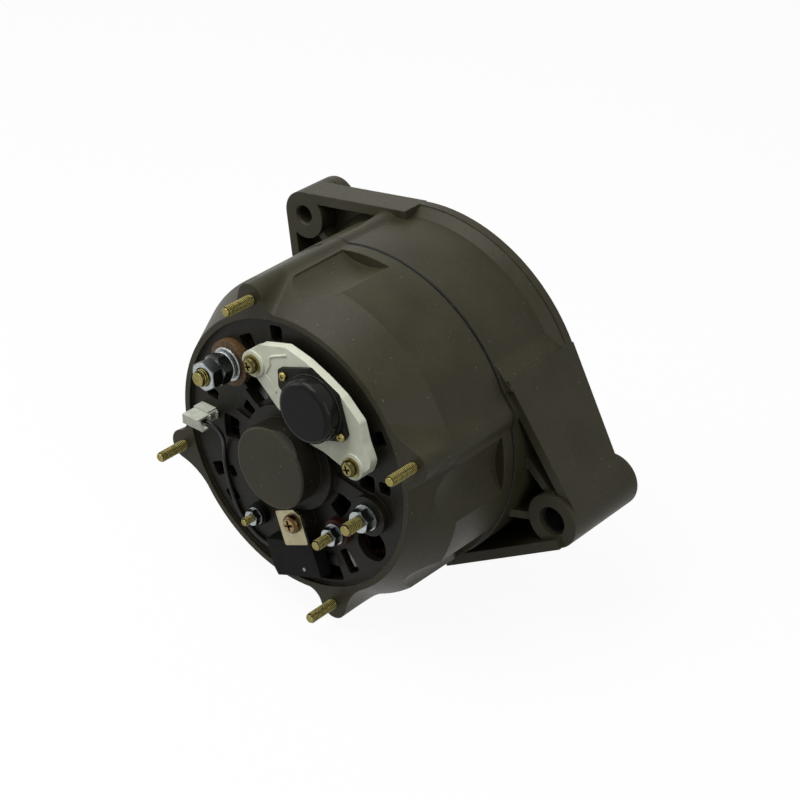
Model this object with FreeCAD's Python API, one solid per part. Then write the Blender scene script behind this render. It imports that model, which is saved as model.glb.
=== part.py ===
import FreeCAD, Part
import math
import os

# Alternator head for a generator set: two cast brackets round a wound stator, with a
# claw-pole rotor on ball bearings, a brush holder with its regulator, and a rectifier.
# Lengths are millimetres. The shaft lies along Y. Stations are counted along the shaft
# from the rear face of the bolt ears towards the drive end, and every finished piece is
# moved back by the station of the pulley shoulder, where the part's origin lies.
# Angles are seen from the rear and run from +X towards +Z.

# Driving dimensions: stator and rotor
CORE_R = 70.4
CORE_DEPTH = 18.4
CORE_START = 42.0
CORE_LENGTH = 34.0
SLOT_COUNT = 36
SLOT_DEPTH = 11.0
SLOT_WIDTH = 3.4
COIL_END = 12.0
COIL_END_STEP = 3.4
COIL_END_ROUND = 4.0
AIR_GAP = 0.5
POLE_PAIRS = 6
POLE_DISC = 12.0
POLE_LENGTH = 40.0
HUB_WALL = 8.0
CLAW_DEPTH = 13.5
CLAW_ROOT_HALF = 11.0
CLAW_TIP_HALF = 5.0
CLAW_TIP_DEPTH = 6.0
CLAW_ROOT_SINK = 3.0
CLAW_HEEL_CHAMFER = 3.0
CLAW_TIP_GAP = 1.0
WINDING_STEP = 2.0
WIRE_STEP = 1.0
WIRE_OVERHANG = 2.0
BOBBIN_WALL = 1.5
COIL_STEP = 4.0
COIL_FILL_STEP = 1.0

# Driving dimensions: housing
HOUSING_WALL = 8.6
CONE_TAPER = 11.0
CONE_LENGTH = 20.5
CONE_DRAFT = 0.4
REAR_LENGTH = 59.0
DRIVE_LENGTH = 48.0
SKIN_STEP = 0.4
FLANGE_RISE = 4.3
FLANGE_THICKNESS = 5.0
FLANGE_BREAK = 0.8
SEAM_CHAMFER = 0.6
CORE_LEDGE = 2.0
CAST_WALL = 5.0

# Driving dimensions: through-bolts and their ears
BOLT_COUNT = 4
BOLT_FIRST_ANGLE = 17.83
BOLT_TO_CORE = 1.1
BOLT_R = 2.5
BOLT_REACH = 15.8
BOLT_GRIP = 12.0
BOLT_HEAD_FLATS = 8.0
BOLT_HEAD_HEIGHT = 4.0
EAR_R = 7.5
EAR_FLARE = 2.2
EAR_BLEND_TIGHT = 8.0
EAR_BLEND_BROAD = 28.0
EAR_TUCK = 0.15
BOLT_PAD_HEIGHT = 5.0

# Driving dimensions: rear wall and bearing boss
DISC_DEPTH = 2.0
REAR_WALL = 4.0
RIM_WIDTH = 3.0
CUP_WALL = 2.5
BOSS_REACH = 15.0
BOSS_ROUND = 1.2
COLLAR_STEP = 5.5
COLLAR_REACH = 3.0
FACET_INSET = 2.6
FACET_DROP = 5.0
FACET_ANGLE = 62.0
VALLEY_WALL = 3.2
VALLEY_CUT_R = 30.0
VALLEY_LIP = 7.0
VALLEY_OFFSET = 16.2
EXTRA_VALLEY_OFFSET = 34.0
RIM_VENTS = ((3.0, 11.0, 96.0, 103.0), (7.0, 14.0, 116.0, 125.0), (5.0, 13.5, 25.0, 32.0),
             (9.0, 15.5, 0.0, 6.5), (20.5, 30.0, 174.0, 191.0), (5.0, 12.0, 206.0, 213.0),
             (14.0, 19.0, 209.0, 216.0), (5.0, 12.0, 220.0, 227.0), (9.0, 16.0, 164.0, 170.0),
             (5.0, 17.0, 302.0, 309.0), (2.5, 17.0, 282.5, 297.0), (18.0, 27.0, 357.5, 368.0))
BOSS_VENTS = ((2.0, 14.5, 124.5, 141.0), (2.0, 8.5, 147.0, 160.0), (2.0, 10.0, 318.0, 340.0))
VENT_ROUND = 1.4
BIG_VENT_INSET = 11.5
BIG_VENT_ANGLE = -33.0
BIG_VENT_R = 8.3
RIB_ANGLES = (144.0, 167.0, 198.0, 228.0)
RIB_HALF = 1.8
RIB_HEIGHT = 1.6
RIB_LENGTH = 11.0
WEB_ANGLE = -9.5
WEB_HALF = 4.0

# Driving dimensions: shaft, slip rings and bearings
SHAFT_R = 9.0
JOURNAL_R = 8.5
REAR_JOURNAL_R = 7.5
SEAT_LENGTH = 24.0
THREAD_R = 8.0
THREAD_LENGTH = 18.0
UNDERCUT = 1.2
UNDERCUT_DEPTH = 0.4
SHAFT_BREAK = 0.5
TIP_CHAMFER = 1.0
SOCKET_FLATS = 8.0
SOCKET_DEPTH = 9.0
RING_R = 15.0
RING_WIDTH = 7.0
RING_PITCH = 10.0
RING_CLEARANCE = 2.0
RING_THICKNESS = 2.5
INSULATOR_FLANGE = 1.5
COLLAR_SINK = 0.8
COLLAR_ROOT = 1.0
FRONT_BEARING = {"bore": 8.5, "outer": 23.5, "width": 14.0, "pitch": 16.0, "ball": 3.9}
REAR_BEARING = {"bore": 7.5, "outer": 17.5, "width": 11.0, "pitch": 12.5, "ball": 2.8}
BALL_COUNT = 8
GROOVE_CLEARANCE = 0.3
LAND_SHARE = 0.72
CAGE_SHARE = 0.3
CAGE_HALF_WIDTH = 1.2
CUP_FLOOR = 3.0
CUP_CLEARANCE = 1.5

# Driving dimensions: drive end
COIL_TO_WALL = 4.0
DRIVE_WALL = 4.5
HUB_CASTING = 9.5
HUB_LIP = 2.5
HUB_SHOULDER = 4.0
DISH_WALL = 3.4
WINDOW_COUNT = 8
WINDOW_FROM_HUB = 3.5
WINDOW_TO_BOLTS = 10.0
WINDOW_HALF_ANGLE = 16.5
SPACER_WALL = 4.0
RETAINER_THICKNESS = 2.4
RETAINER_RIM = 8.5
RETAINER_SCREW_OFFSET = 4.7
RETAINER_SCREW_COUNT = 3
RETAINER_SCREW_DEPTH = 8.0
RETAINER_HEAD_R = 3.4
RETAINER_HEAD = 2.2
FAN_TO_DISH = 12.0
FAN_TO_HUB = 7.0
FAN_DISC = 2.0
FAN_BLADE_HEIGHT = 11.0
FAN_BLADE_THICKNESS = 2.0
FAN_BLADE_COUNT = 12
FAN_BLADE_LEAN = 24.0
FAN_BLADE_SPARE = 6.0
FAN_GAP = 4.0
PULLEY_SPACER = 4.0

# Driving dimensions: mounting lugs
PIVOT_STANDOFF = 15.3
PIVOT_ANGLE = -16.4
PIVOT_BORE_R = 7.1
PIVOT_WALL = 6.1
PIVOT_ROOT = 1.0
PIVOT_SETBACK = 8.0
PIVOT_OVERHANG = 9.0
PIVOT_ROUND = 2.0
BUSH_WALL = 1.0
BUSH_INSET = 3.0
ADJUST_STANDOFF = 13.9
ADJUST_ANGLE = 141.2
ADJUST_BORE_R = 4.3
ADJUST_WALL = 7.4
ADJUST_LENGTH = 21.5
ADJUST_OVERHANG = 6.0
ADJUST_ROUND = 3.0
THREAD_CHAMFER = 0.9
LUG_RIB = 4.0
RAMP_ANGLE = 7.0
RAMP_REACH = 5.0
RAMP_SINK = 0.9
LUG_RIB_SINK = 2.0
UPPER_RIB_SHIFT = 4.0
UPPER_RIB_Z = -2.0
UPPER_RIB_DELAY = 8.0
LEVEL_RIB_DROP = 4.0
LEVEL_RIB_DELAY = 5.0
PIVOT_EDGE_STEP = 3.0
ADJUST_RIB_STEP = 1.5

# Driving dimensions: brush gear and regulator
BRUSH_ANGLE = 58.7
HOLDER_TOP = 6.0
HOLDER_UNDERSIDE = 1.6
HOLDER_SCREW_INSETS = ((18.5, 110.3), (21.4, 18.6))
HOLDER_OUTER = ((13.6, 115.1), (9.4, 102.5), (8.3, 94.0), (6.5, 86.9), (7.4, 75.0), (7.8, 63.7),
                (7.0, 52.0), (6.4, 39.0), (9.4, 30.0), (9.6, 21.0), (11.2, 18.0), (20.6, 10.9),
                (29.1, 18.8))
HOLDER_INNER = ((2.9, 30.7), (-3.1, 42.7), (1.3, 96.4), (15.5, 112.5))
HOLDER_SCREW_R = 2.0
HOLDER_SCREW_HEAD_R = 3.9
HOLDER_SCREW_HEAD = 2.6
HOLDER_BOSS_R = 6.3
HOLDER_BOSS_RISE = 0.8
WASHER = 0.9
HOLDER_ROUND = 3.0
HOLDER_CORNER_RISE = 4.0
HOLDER_WASHER_RIM = 0.7
BRUSH_WIDTH = 7.0
BRUSH_THICKNESS = 6.0
BRUSH_LENGTH = 15.5
BRUSH_FACE_SPARE = 2.0
BRUSH_SIDE_GAP = 0.3
BRUSH_FACE_GAP = 0.3
BRUSH_TRAVEL = 5.0
BOX_WALL = 1.7
BOX_TO_COLLAR = 2.0
BOX_START_R = 17.0
BOX_END_R = 45.0
SPRING_R = 2.4
SPRING_WALL = 0.5
SPRING_ROOM = 5.5
REGULATOR_PLATE = 2.0
REGULATOR_OUTLINE = ((-21.8, 11.0), (-3.5, 17.4), (12.6, 10.0), (18.0, -7.7), (16.0, -11.4),
                     (4.4, -14.8), (-21.6, 1.9))
REGULATOR_ROUND = 2.0
CAP_INSET = 21.95
CAP_ANGLE = 59.3
CAP_R = 14.9
CAP_HEIGHT = 8.0
CAP_ROUND = 2.6
REGULATOR_SCREW_OFFSETS = ((-18.3, 8.3), (14.8, -9.1))
REGULATOR_SCREW_R = 1.2
REGULATOR_SCREW_HEAD_R = 2.2
REGULATOR_SCREW_HEAD = 1.6
REGULATOR_SCREW_DEPTH = 4.0

# Driving dimensions: terminals
PLAIN_WASHER = 1.6
SPLIT_WASHER = 2.0
BATTERY_INSET = 15.1
BATTERY_ANGLE = 136.2
BATTERY_R = 4.0
BATTERY_FLATS = 13.0
BATTERY_NUT = 5.1
BATTERY_REACH = 21.5
BATTERY_HEAD = 4.0
BATTERY_WASHER_R = 8.2
BATTERY_SPRING_R = 6.9
BATTERY_RING_R = 11.0
BATTERY_RING_TOP = 2.0
BATTERY_SLEEVE = 2.0
BATTERY_TUBE_R = 8.5
GROUND_INSET = 17.5
GROUND_ANGLE = -14.6
GROUND_R = 3.0
GROUND_FLATS = 10.0
GROUND_NUT = 5.0
GROUND_WASHER_R = 6.2
GROUND_WASHER = 1.2
GROUND_REACH = 17.0
GROUND_BOSS_R = 9.5
GROUND_BOSS_TOP = 2.0
GROUND_LAND = 2.0
PHASE_INSET = 25.3
PHASE_ANGLE = -48.0
PHASE_R = 2.5
PHASE_FLATS = 8.0
PHASE_NUT = 4.2
PHASE_WASHER_R = 5.0
PHASE_RING_R = 6.6
PHASE_RING_TOP = 1.4
PHASE_SLEEVE = 1.5
PHASE_REACH = 15.0
LAMP_INSET = 18.1
LAMP_ANGLE = 241.0
LAMP_R = 2.0
LAMP_FLATS = 7.0
LAMP_NUT = 3.2
LAMP_WASHER_R = 4.2
LAMP_RING_R = 5.4
LAMP_RING_TOP = 1.2
LAMP_SLEEVE = 1.2
LAMP_REACH = 10.0
THIN_WASHER = 1.0
SLEEVE_LIP = 0.5
STUD_HEAD = 2.0

# Driving dimensions: rectifier
PLATE_THICKNESS = 3.0
PLATE_TO_BEARING = 6.5
PLATE_TO_WALL = 3.0
PLATE_FIRST_ANGLE = 118.0
PLATE_LAST_ANGLE = 300.0
PLATE_STANDOFF = 4.0
PLATE_PITCH = 9.0
PLATE_SCREW_ANGLES = (162.0, 215.0, 275.0)
PLATE_SCREW_R = 2.0
PLATE_SCREW_HEAD_R = 3.6
PLATE_SCREW_HEAD = 2.4
PLATE_SCREW_GRIP = 1.5
SPACER_TUBE_R = 5.0
SPACER_END = 1.0
DIODE_R = 6.35
DIODE_HEIGHT = 5.5
DIODE_FOOT = 1.0
DIODE_INSET = 14.0
NEGATIVE_DIODE_ANGLES = (180.5, 198.0, 240.0)
POSITIVE_DIODE_ANGLES = (189.0, 230.0, 252.0)
LEAD_PIN_R = 0.8
LEAD_PIN_LENGTH = 2.5

# Driving dimensions: suppression capacitor, its lead and connector
CAPACITOR_INSET = 33.5
CAPACITOR_ANGLE = -81.0
CAPACITOR_OUTLINE = ((-18.8, -17.1), (9.0, -7.9), (15.4, -24.1), (-3.9, -31.0), (-11.5, -34.1),
                     (-13.9, -30.9))
TAB_OUTLINE = ((-10.9, 2.0), (0.1, 7.1), (4.3, 5.6), (9.0, -7.9), (-5.0, -14.1))
CAPACITOR_BOSS_R = 6.4
CAPACITOR_BOSS_TOP = 5.0
CAPACITOR_SCREW_R = 2.5
CAPACITOR_HEAD_R = 4.6
CAPACITOR_HEAD = 3.2
TAB_THICKNESS = 1.2
TAB_ROUND = 1.0
CAPACITOR_TOP = 4.8
CONNECTOR_INSET = 8.5
CONNECTOR_Z = -1.4
CONNECTOR_WIDTH = 9.6
CONNECTOR_HEIGHT = 7.2
CONNECTOR_LENGTH = 13.0
ENTRY_WIDTH = 3.0
ENTRY_DEPTH = 4.0
ENTRY_PITCH = 5.2
ENTRY_STATION = -5.4
ENTRY_Z = 1.0
CABLE_R = 1.0
LEAD_GAP = 0.1
LEAD_INSET = 3.8
LEAD_OUT = 3.6
LEAD_BEND_SHARE = 0.45
LEAD_DROP = (-41.6, -2.2, -5.6)
LEAD_COURSE = ((-44.4, -14.2), (-44.6, -23.0), (-42.6, -31.6), (-39.6, -40.0), (-35.0, -47.6),
               (-28.2, -53.2), (-20.0, -56.4), (-11.8, -56.2))

# Shares of a fastener's own size
HEAD_ROUND_SHARE = 0.35
SLOT_DEPTH_SHARE = 0.6
SLOT_WIDTH_SHARE = 0.28
STUD_CHAMFER_SHARE = 0.2
NUT_CROWN_SHARE = 0.985
NUT_CHAMFER_SHARE = 0.06
BATTERY_NUT_TURNS = (12.0, 34.0)
SMALL_NUT_TURN = 20.0

# An engaged thread is drawn at its mean radius, a share of its outer radius
ENGAGED_SHARE = 0.9

# How far a cutting tool or a joined piece reaches past a face
OVER = 1.0

# Fits
BEARING_FIT = 0.02
SLIP_FIT = 0.1
SCREW_CLEARANCE = 0.2
PASS_CLEARANCE = 0.5
HEAD_CLEARANCE = 0.9

# Derived stations
SEAM = REAR_LENGTH
DRIVE_FACE = REAR_LENGTH + DRIVE_LENGTH
FLANGE_START = DRIVE_FACE - FLANGE_THICKNESS
WALL_INSIDE = DISC_DEPTH + REAR_WALL
CORE_END = CORE_START + CORE_LENGTH
CORE_MIDDLE = CORE_START + CORE_LENGTH / 2
COIL_FRONT = CORE_END + COIL_END
DRIVE_WALL_START = COIL_FRONT + COIL_TO_WALL
DRIVE_WALL_END = DRIVE_WALL_START + DRIVE_WALL
FRONT_BEARING_START = DRIVE_WALL_START
FRONT_BEARING_END = FRONT_BEARING_START + FRONT_BEARING["width"]
HUB_END = FRONT_BEARING_END + HUB_LIP
REAR_BEARING_START = CUP_FLOOR + CUP_CLEARANCE - BOSS_REACH
REAR_BEARING_END = REAR_BEARING_START + REAR_BEARING["width"]
POLE_START = CORE_MIDDLE - POLE_LENGTH / 2
POLE_END = CORE_MIDDLE + POLE_LENGTH / 2
FAN_DISC_START = DRIVE_WALL_END + FAN_GAP + FAN_BLADE_HEIGHT
FAN_DISC_END = FAN_DISC_START + FAN_DISC
SHOULDER = FAN_DISC_END + PULLEY_SPACER
SEAT_END = SHOULDER + SEAT_LENGTH
SHAFT_TIP = SEAT_END + THREAD_LENGTH
HEAD_SEAT = DRIVE_WALL_END + BOLT_PAD_HEIGHT
NEGATIVE_PLATE = WALL_INSIDE + PLATE_STANDOFF
POSITIVE_PLATE = NEGATIVE_PLATE + PLATE_PITCH
POSITIVE_BACK = POSITIVE_PLATE + PLATE_THICKNESS
RING_CENTRE = WALL_INSIDE + RING_CLEARANCE + RING_WIDTH / 2 + RING_PITCH / 2
INSULATOR_END = RING_CENTRE + RING_PITCH / 2 + RING_WIDTH / 2 + INSULATOR_FLANGE
PIVOT_START = SEAM + PIVOT_SETBACK
PIVOT_END = DRIVE_FACE + PIVOT_OVERHANG
ADJUST_END = DRIVE_FACE + ADJUST_OVERHANG
ADJUST_START = ADJUST_END - ADJUST_LENGTH
BATTERY_FACE = -BATTERY_RING_TOP - PLAIN_WASHER - SPLIT_WASHER
GROUND_FACE = -GROUND_BOSS_TOP - GROUND_WASHER
PHASE_FACE = -PHASE_RING_TOP - THIN_WASHER
LAMP_FACE = -LAMP_RING_TOP - THIN_WASHER
CAPACITOR_SEAT = -CAPACITOR_BOSS_TOP - TAB_THICKNESS
REGULATOR_SEAT = -HOLDER_TOP - REGULATOR_PLATE

# Derived radii
HOUSING_R = CORE_R + HOUSING_WALL
SKIN_R = HOUSING_R + SKIN_STEP
FLANGE_R = SKIN_R + FLANGE_RISE
REAR_RIM_R = HOUSING_R - CONE_TAPER
RIM_STEP_R = REAR_RIM_R - RIM_WIDTH
WALL_FOOT_R = REAR_RIM_R - CAST_WALL
SEAT_BORE_R = CORE_R + SLIP_FIT
INNER_R = CORE_R - CORE_LEDGE
BOLT_CIRCLE_R = CORE_R + BOLT_TO_CORE + BOLT_R
VALLEY_FLOOR_R = CORE_R + VALLEY_WALL
BOSS_R = REAR_BEARING["outer"] + CUP_WALL
COLLAR_R = BOSS_R + COLLAR_STEP
CORE_BORE_R = CORE_R - CORE_DEPTH
COIL_END_R = CORE_R - COIL_END_STEP
POLE_R = CORE_BORE_R - AIR_GAP
POLE_DISC_R = POLE_R - CLAW_DEPTH
POLE_HUB_R = SHAFT_R + HUB_WALL
COIL_R = POLE_DISC_R - COIL_STEP
HUB_R = FRONT_BEARING["outer"] + HUB_CASTING
DISH_R = SKIN_R - DISH_WALL
WINDOW_INNER_R = HUB_R + WINDOW_FROM_HUB
WINDOW_OUTER_R = BOLT_CIRCLE_R - WINDOW_TO_BOLTS
SPACER_R = JOURNAL_R + SPACER_WALL
RETAINER_R = FRONT_BEARING["outer"] + RETAINER_RIM
RETAINER_SCREW_CIRCLE_R = FRONT_BEARING["outer"] + RETAINER_SCREW_OFFSET
FAN_R = DISH_R - FAN_TO_DISH
FAN_BLADE_INNER_R = HUB_R + FAN_TO_HUB
PIVOT_R = PIVOT_BORE_R + PIVOT_WALL
BUSH_BORE_R = PIVOT_BORE_R - BUSH_WALL
ADJUST_R = ADJUST_BORE_R + ADJUST_WALL
PLATE_INNER_R = REAR_BEARING["outer"] + PLATE_TO_BEARING
PLATE_OUTER_R = WALL_FOOT_R - PLATE_TO_WALL
PLATE_SCREW_CIRCLE_R = (PLATE_INNER_R + PLATE_OUTER_R) / 2
DIODE_CIRCLE_R = PLATE_OUTER_R - DIODE_INSET
BRUSH_TIP_R = RING_R + BRUSH_FACE_GAP
BRUSH_TAIL_R = BRUSH_TIP_R + BRUSH_LENGTH
BOLT_ANGLES = [BOLT_FIRST_ANGLE + i * 360.0 / BOLT_COUNT for i in range(BOLT_COUNT)]


# Derived places
def spot(radius, angle):
    turn = math.radians(angle)
    return radius * math.cos(turn), radius * math.sin(turn)


PIVOT_X, PIVOT_Z = spot(FLANGE_R + PIVOT_STANDOFF, PIVOT_ANGLE)
ADJUST_X, ADJUST_Z = spot(FLANGE_R + ADJUST_STANDOFF, ADJUST_ANGLE)
BATTERY_X, BATTERY_Z = spot(RIM_STEP_R - BATTERY_INSET, BATTERY_ANGLE)
GROUND_X, GROUND_Z = spot(RIM_STEP_R - GROUND_INSET, GROUND_ANGLE)
PHASE_X, PHASE_Z = spot(RIM_STEP_R - PHASE_INSET, PHASE_ANGLE)
LAMP_X, LAMP_Z = spot(RIM_STEP_R - LAMP_INSET, LAMP_ANGLE)
CAPACITOR_X, CAPACITOR_Z = spot(RIM_STEP_R - CAPACITOR_INSET, CAPACITOR_ANGLE)
CONNECTOR_X = CONNECTOR_INSET - RIM_STEP_R
CAP_X, CAP_Z = spot(RIM_STEP_R - CAP_INSET, CAP_ANGLE)
HOLDER_SCREWS = [spot(RIM_STEP_R - inset, angle) for inset, angle in HOLDER_SCREW_INSETS]
REGULATOR_SCREWS = [(CAP_X + x, CAP_Z + z) for x, z in REGULATOR_SCREW_OFFSETS]

AXIS = FreeCAD.Vector(0, 1, 0)
CENTRE = FreeCAD.Vector(0, 0, 0)


# Helpers
def at(x, station, z):
    return FreeCAD.Vector(x, station, z)


def polar(radius, angle, station=0.0):
    x, z = spot(radius, angle)
    return at(x, station, z)


def turned(shape, angle):
    copy = shape.copy()
    copy.rotate(CENTRE, at(0, -1, 0), angle)
    return copy


def rod(x, z, radius, start, end):
    return Part.makeCylinder(radius, end - start, at(x, start, z), AXIS)


def tube(x, z, inner, outer, start, end):
    return rod(x, z, outer, start, end).cut(rod(x, z, inner, start, end))


def hexagon(x, z, flats, start, end, angle=0.0):
    corner = flats / math.sqrt(3)
    points = [(x + corner * math.cos(math.radians(angle + 60 * i)),
               z + corner * math.sin(math.radians(angle + 60 * i))) for i in range(6)]
    return prism(points, start, end)


def prism(points, start, end):
    corners = [at(x, start, z) for x, z in points]
    face = Part.Face(Part.makePolygon(corners + corners[:1]))
    return face.extrude(at(0, end - start, 0))


def block(radius_from, radius_to, half_width, start, end, angle):
    box = Part.makeBox(radius_to - radius_from, end - start, 2 * half_width,
                       at(radius_from, start, -half_width))
    return turned(box, angle)


def sector(inner, outer, first, last, start, end):
    middle = (first + last) / 2
    edges = [
        Part.Arc(polar(inner, first, start), polar(inner, middle, start),
                 polar(inner, last, start)).toShape(),
        Part.makeLine(polar(inner, last, start), polar(outer, last, start)),
        Part.Arc(polar(outer, last, start), polar(outer, middle, start),
                 polar(outer, first, start)).toShape(),
        Part.makeLine(polar(outer, first, start), polar(inner, first, start)),
    ]
    return Part.Face(Part.Wire(edges)).extrude(at(0, end - start, 0))


def revolved(profile):
    corners = [at(radius, station, 0) for radius, station in profile]
    face = Part.Face(Part.makePolygon(corners + corners[:1]))
    return face.revolve(CENTRE, AXIS, 360)


def fused(shapes):
    return shapes[0].fuse(list(shapes[1:]))


def cut(shape, tools):
    return shape.cut(list(tools))


def rounded(shape, radius, test):
    edges = [edge for edge in shape.Edges if test(edge)]
    return shape.makeFillet(radius, edges)


def is_ring(edge, station):
    box = edge.BoundBox
    flat = abs(box.YMin - station) < 1e-4 and abs(box.YMax - station) < 1e-4
    return flat and isinstance(edge.Curve, Part.Circle)


def is_axial(edge):
    box = edge.BoundBox
    return box.YLength > 1.0 and box.XLength < 1e-4 and box.ZLength < 1e-4


def screw(x, z, radius, head_radius, head, seat, end):
    shank = rod(x, z, radius, seat, end)
    top = rounded(rod(x, z, head_radius, seat - head, seat), head * HEAD_ROUND_SHARE,
                  lambda edge: is_ring(edge, seat - head))
    deep = head * SLOT_DEPTH_SHARE
    wide = head_radius * SLOT_WIDTH_SHARE
    slots = [Part.makeBox(head_radius, deep, wide, at(x - head_radius / 2, seat - head,
                                                      z - wide / 2)),
             Part.makeBox(wide, deep, head_radius, at(x - wide / 2, seat - head,
                                                      z - head_radius / 2))]
    return cut(fused([shank, top]), slots)


def stud(x, z, radius, tip, free_end, end):
    free = rod(x, z, radius, tip, free_end)
    free = free.makeChamfer(radius * STUD_CHAMFER_SHARE,
                            [edge for edge in free.Edges if is_ring(edge, tip)])
    return fused([free, rod(x, z, radius * ENGAGED_SHARE, free_end, end)])


def nut(x, z, radius, flats, start, end, angle=0.0):
    blank = hexagon(x, z, flats, start, end, angle)
    crown = rod(x, z, flats / math.sqrt(3) * NUT_CROWN_SHARE, start, end)
    crown = crown.makeChamfer(flats * NUT_CHAMFER_SHARE,
                              [edge for edge in crown.Edges if is_ring(edge, start)])
    return blank.common(crown).cut(rod(x, z, radius * ENGAGED_SHARE + SLIP_FIT, start, end))


def write(node, solids):
    moved = []
    for solid in solids:
        for piece in solid.Solids:
            placed = piece.copy()
            placed.translate(at(0, -SHOULDER, 0))
            moved.append(placed)
    shape = moved[0] if len(moved) == 1 else Part.makeCompound(moved)
    shape.exportStep("parts/" + node + ".step")


# Mounting lugs
def tangent_angle(housing_radius, lug_x, lug_z, lug_radius, side):
    reach = math.hypot(lug_x, lug_z)
    towards = math.degrees(math.atan2(lug_z, lug_x))
    return towards + side * math.degrees(math.acos((housing_radius - lug_radius) / reach))


def tangent_line(housing_radius, lug_x, lug_z, lug_radius, side):
    normal = polar(1, tangent_angle(housing_radius, lug_x, lug_z, lug_radius, side))
    return normal * housing_radius, at(lug_x, 0, lug_z) + normal * lug_radius, normal


def lug_wall(housing_radius, lug, side, body_start, lug_start):
    root, tip, normal = tangent_line(housing_radius, *lug, side)
    corners = [root + at(0, body_start, 0), tip + at(0, lug_start, 0),
               tip + at(0, DRIVE_FACE, 0), root + at(0, DRIVE_FACE, 0)]
    face = Part.Face(Part.makePolygon(corners + corners[:1]))
    return face.extrude(normal * -CAST_WALL)


def lug_ramp(lug, side, body_start):
    angle = tangent_angle(FLANGE_R, *lug, side)
    root, tip, normal = tangent_line(FLANGE_R, *lug, side)
    high = root + (tip - root).normalize() * RAMP_REACH
    low = polar(SKIN_R - SLIP_FIT, angle + side * RAMP_ANGLE)
    inner = high - normal * (CAST_WALL * RAMP_SINK)
    points = [(p.x, p.z) for p in (low, high, inner, low * RAMP_SINK)]
    return prism(points, body_start, FLANGE_START)


def lug_plate(radii, lug):
    points = [(0.0, 0.0)]
    for side, radius in zip((-1, 1), radii):
        root, tip, normal = tangent_line(radius, *lug, side)
        pair = [(root.x, root.z), (tip.x, tip.z)]
        points += pair if side < 0 else pair[::-1]
    return prism(points, FLANGE_START, DRIVE_FACE)


def lug_rib(from_point, to_point, body_start, lug_start):
    along = at(to_point[0] - from_point[0], 0, to_point[1] - from_point[1])
    sideways = at(along.z, 0, -along.x).normalize() * (LUG_RIB / 2)
    root = at(from_point[0], 0, from_point[1]) - sideways
    tip = at(to_point[0], 0, to_point[1]) - sideways
    corners = [root + at(0, body_start, 0), tip + at(0, lug_start, 0),
               tip + at(0, DRIVE_FACE, 0), root + at(0, DRIVE_FACE, 0)]
    face = Part.Face(Part.makePolygon(corners + corners[:1]))
    return face.extrude(sideways * 2)


def pivot_lug():
    lug = (PIVOT_X, PIVOT_Z, PIVOT_R)
    boss = rounded(rod(PIVOT_X, PIVOT_Z, PIVOT_R, PIVOT_START, PIVOT_END), PIVOT_ROUND,
                   lambda edge: is_ring(edge, PIVOT_END))
    wall_start = SEAM + PIVOT_ROOT
    upper_end = PIVOT_START + PIVOT_EDGE_STEP
    inner = SKIN_R - LUG_RIB_SINK
    upper_rib = lug_rib((inner, UPPER_RIB_Z),
                        (PIVOT_X - UPPER_RIB_SHIFT, PIVOT_Z + PIVOT_R - LUG_RIB_SINK),
                        wall_start + UPPER_RIB_DELAY, upper_end)
    level = PIVOT_Z - LEVEL_RIB_DROP
    level_rib = lug_rib((inner - CAST_WALL, level), (PIVOT_X - PIVOT_R + LUG_RIB_SINK, level),
                        wall_start + LEVEL_RIB_DELAY, upper_end)
    return [
        lug_wall(FLANGE_R, lug, 1, wall_start, upper_end),
        lug_wall(FLANGE_R, lug, -1, wall_start, PIVOT_START - LUG_RIB_SINK),
        lug_ramp(lug, 1, wall_start), lug_ramp(lug, -1, wall_start),
        lug_plate((FLANGE_R, FLANGE_R), lug),
        boss, upper_rib, level_rib,
    ]


def adjusting_lug():
    lug = (ADJUST_X, ADJUST_Z, ADJUST_R)
    boss = rounded(rod(ADJUST_X, ADJUST_Z, ADJUST_R, ADJUST_START, ADJUST_END), ADJUST_ROUND,
                   lambda edge: is_ring(edge, ADJUST_END))
    rib_start = spot(SKIN_R - LUG_RIB_SINK, ADJUST_ANGLE)
    rib_end = spot(FLANGE_R + ADJUST_STANDOFF - ADJUST_BORE_R - LUG_RIB_SINK, ADJUST_ANGLE)
    rib_level = ADJUST_START + ADJUST_RIB_STEP
    middle_rib = lug_rib(rib_start, rib_end, rib_level, rib_level)
    return [
        lug_wall(FLANGE_R, lug, -1, ADJUST_START, ADJUST_START),
        lug_wall(HOUSING_R, lug, 1, ADJUST_START, ADJUST_START),
        lug_plate((FLANGE_R, HOUSING_R), lug),
        boss, middle_rib,
    ]


# Brackets
def bolt_holes(radius, start, end):
    return [rod(*spot(BOLT_CIRCLE_R, a), radius, start, end) for a in BOLT_ANGLES]


def blend_arc(skin_r, lobe_r, blend):
    base_r = skin_r - EAR_TUCK
    far = base_r + blend
    near = lobe_r + blend
    x = (far ** 2 + BOLT_CIRCLE_R ** 2 - near ** 2) / (2 * BOLT_CIRCLE_R)
    z = math.sqrt(far ** 2 - x ** 2)
    bolt = at(BOLT_CIRCLE_R, 0, 0)
    centre = at(x, 0, z)
    lobe_touch = bolt + (centre - bolt) * (lobe_r / near)
    base_touch = centre * (base_r / far)
    middle = centre + ((lobe_touch + base_touch) * 0.5 - centre).normalize() * blend
    return base_touch, middle, lobe_touch


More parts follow.
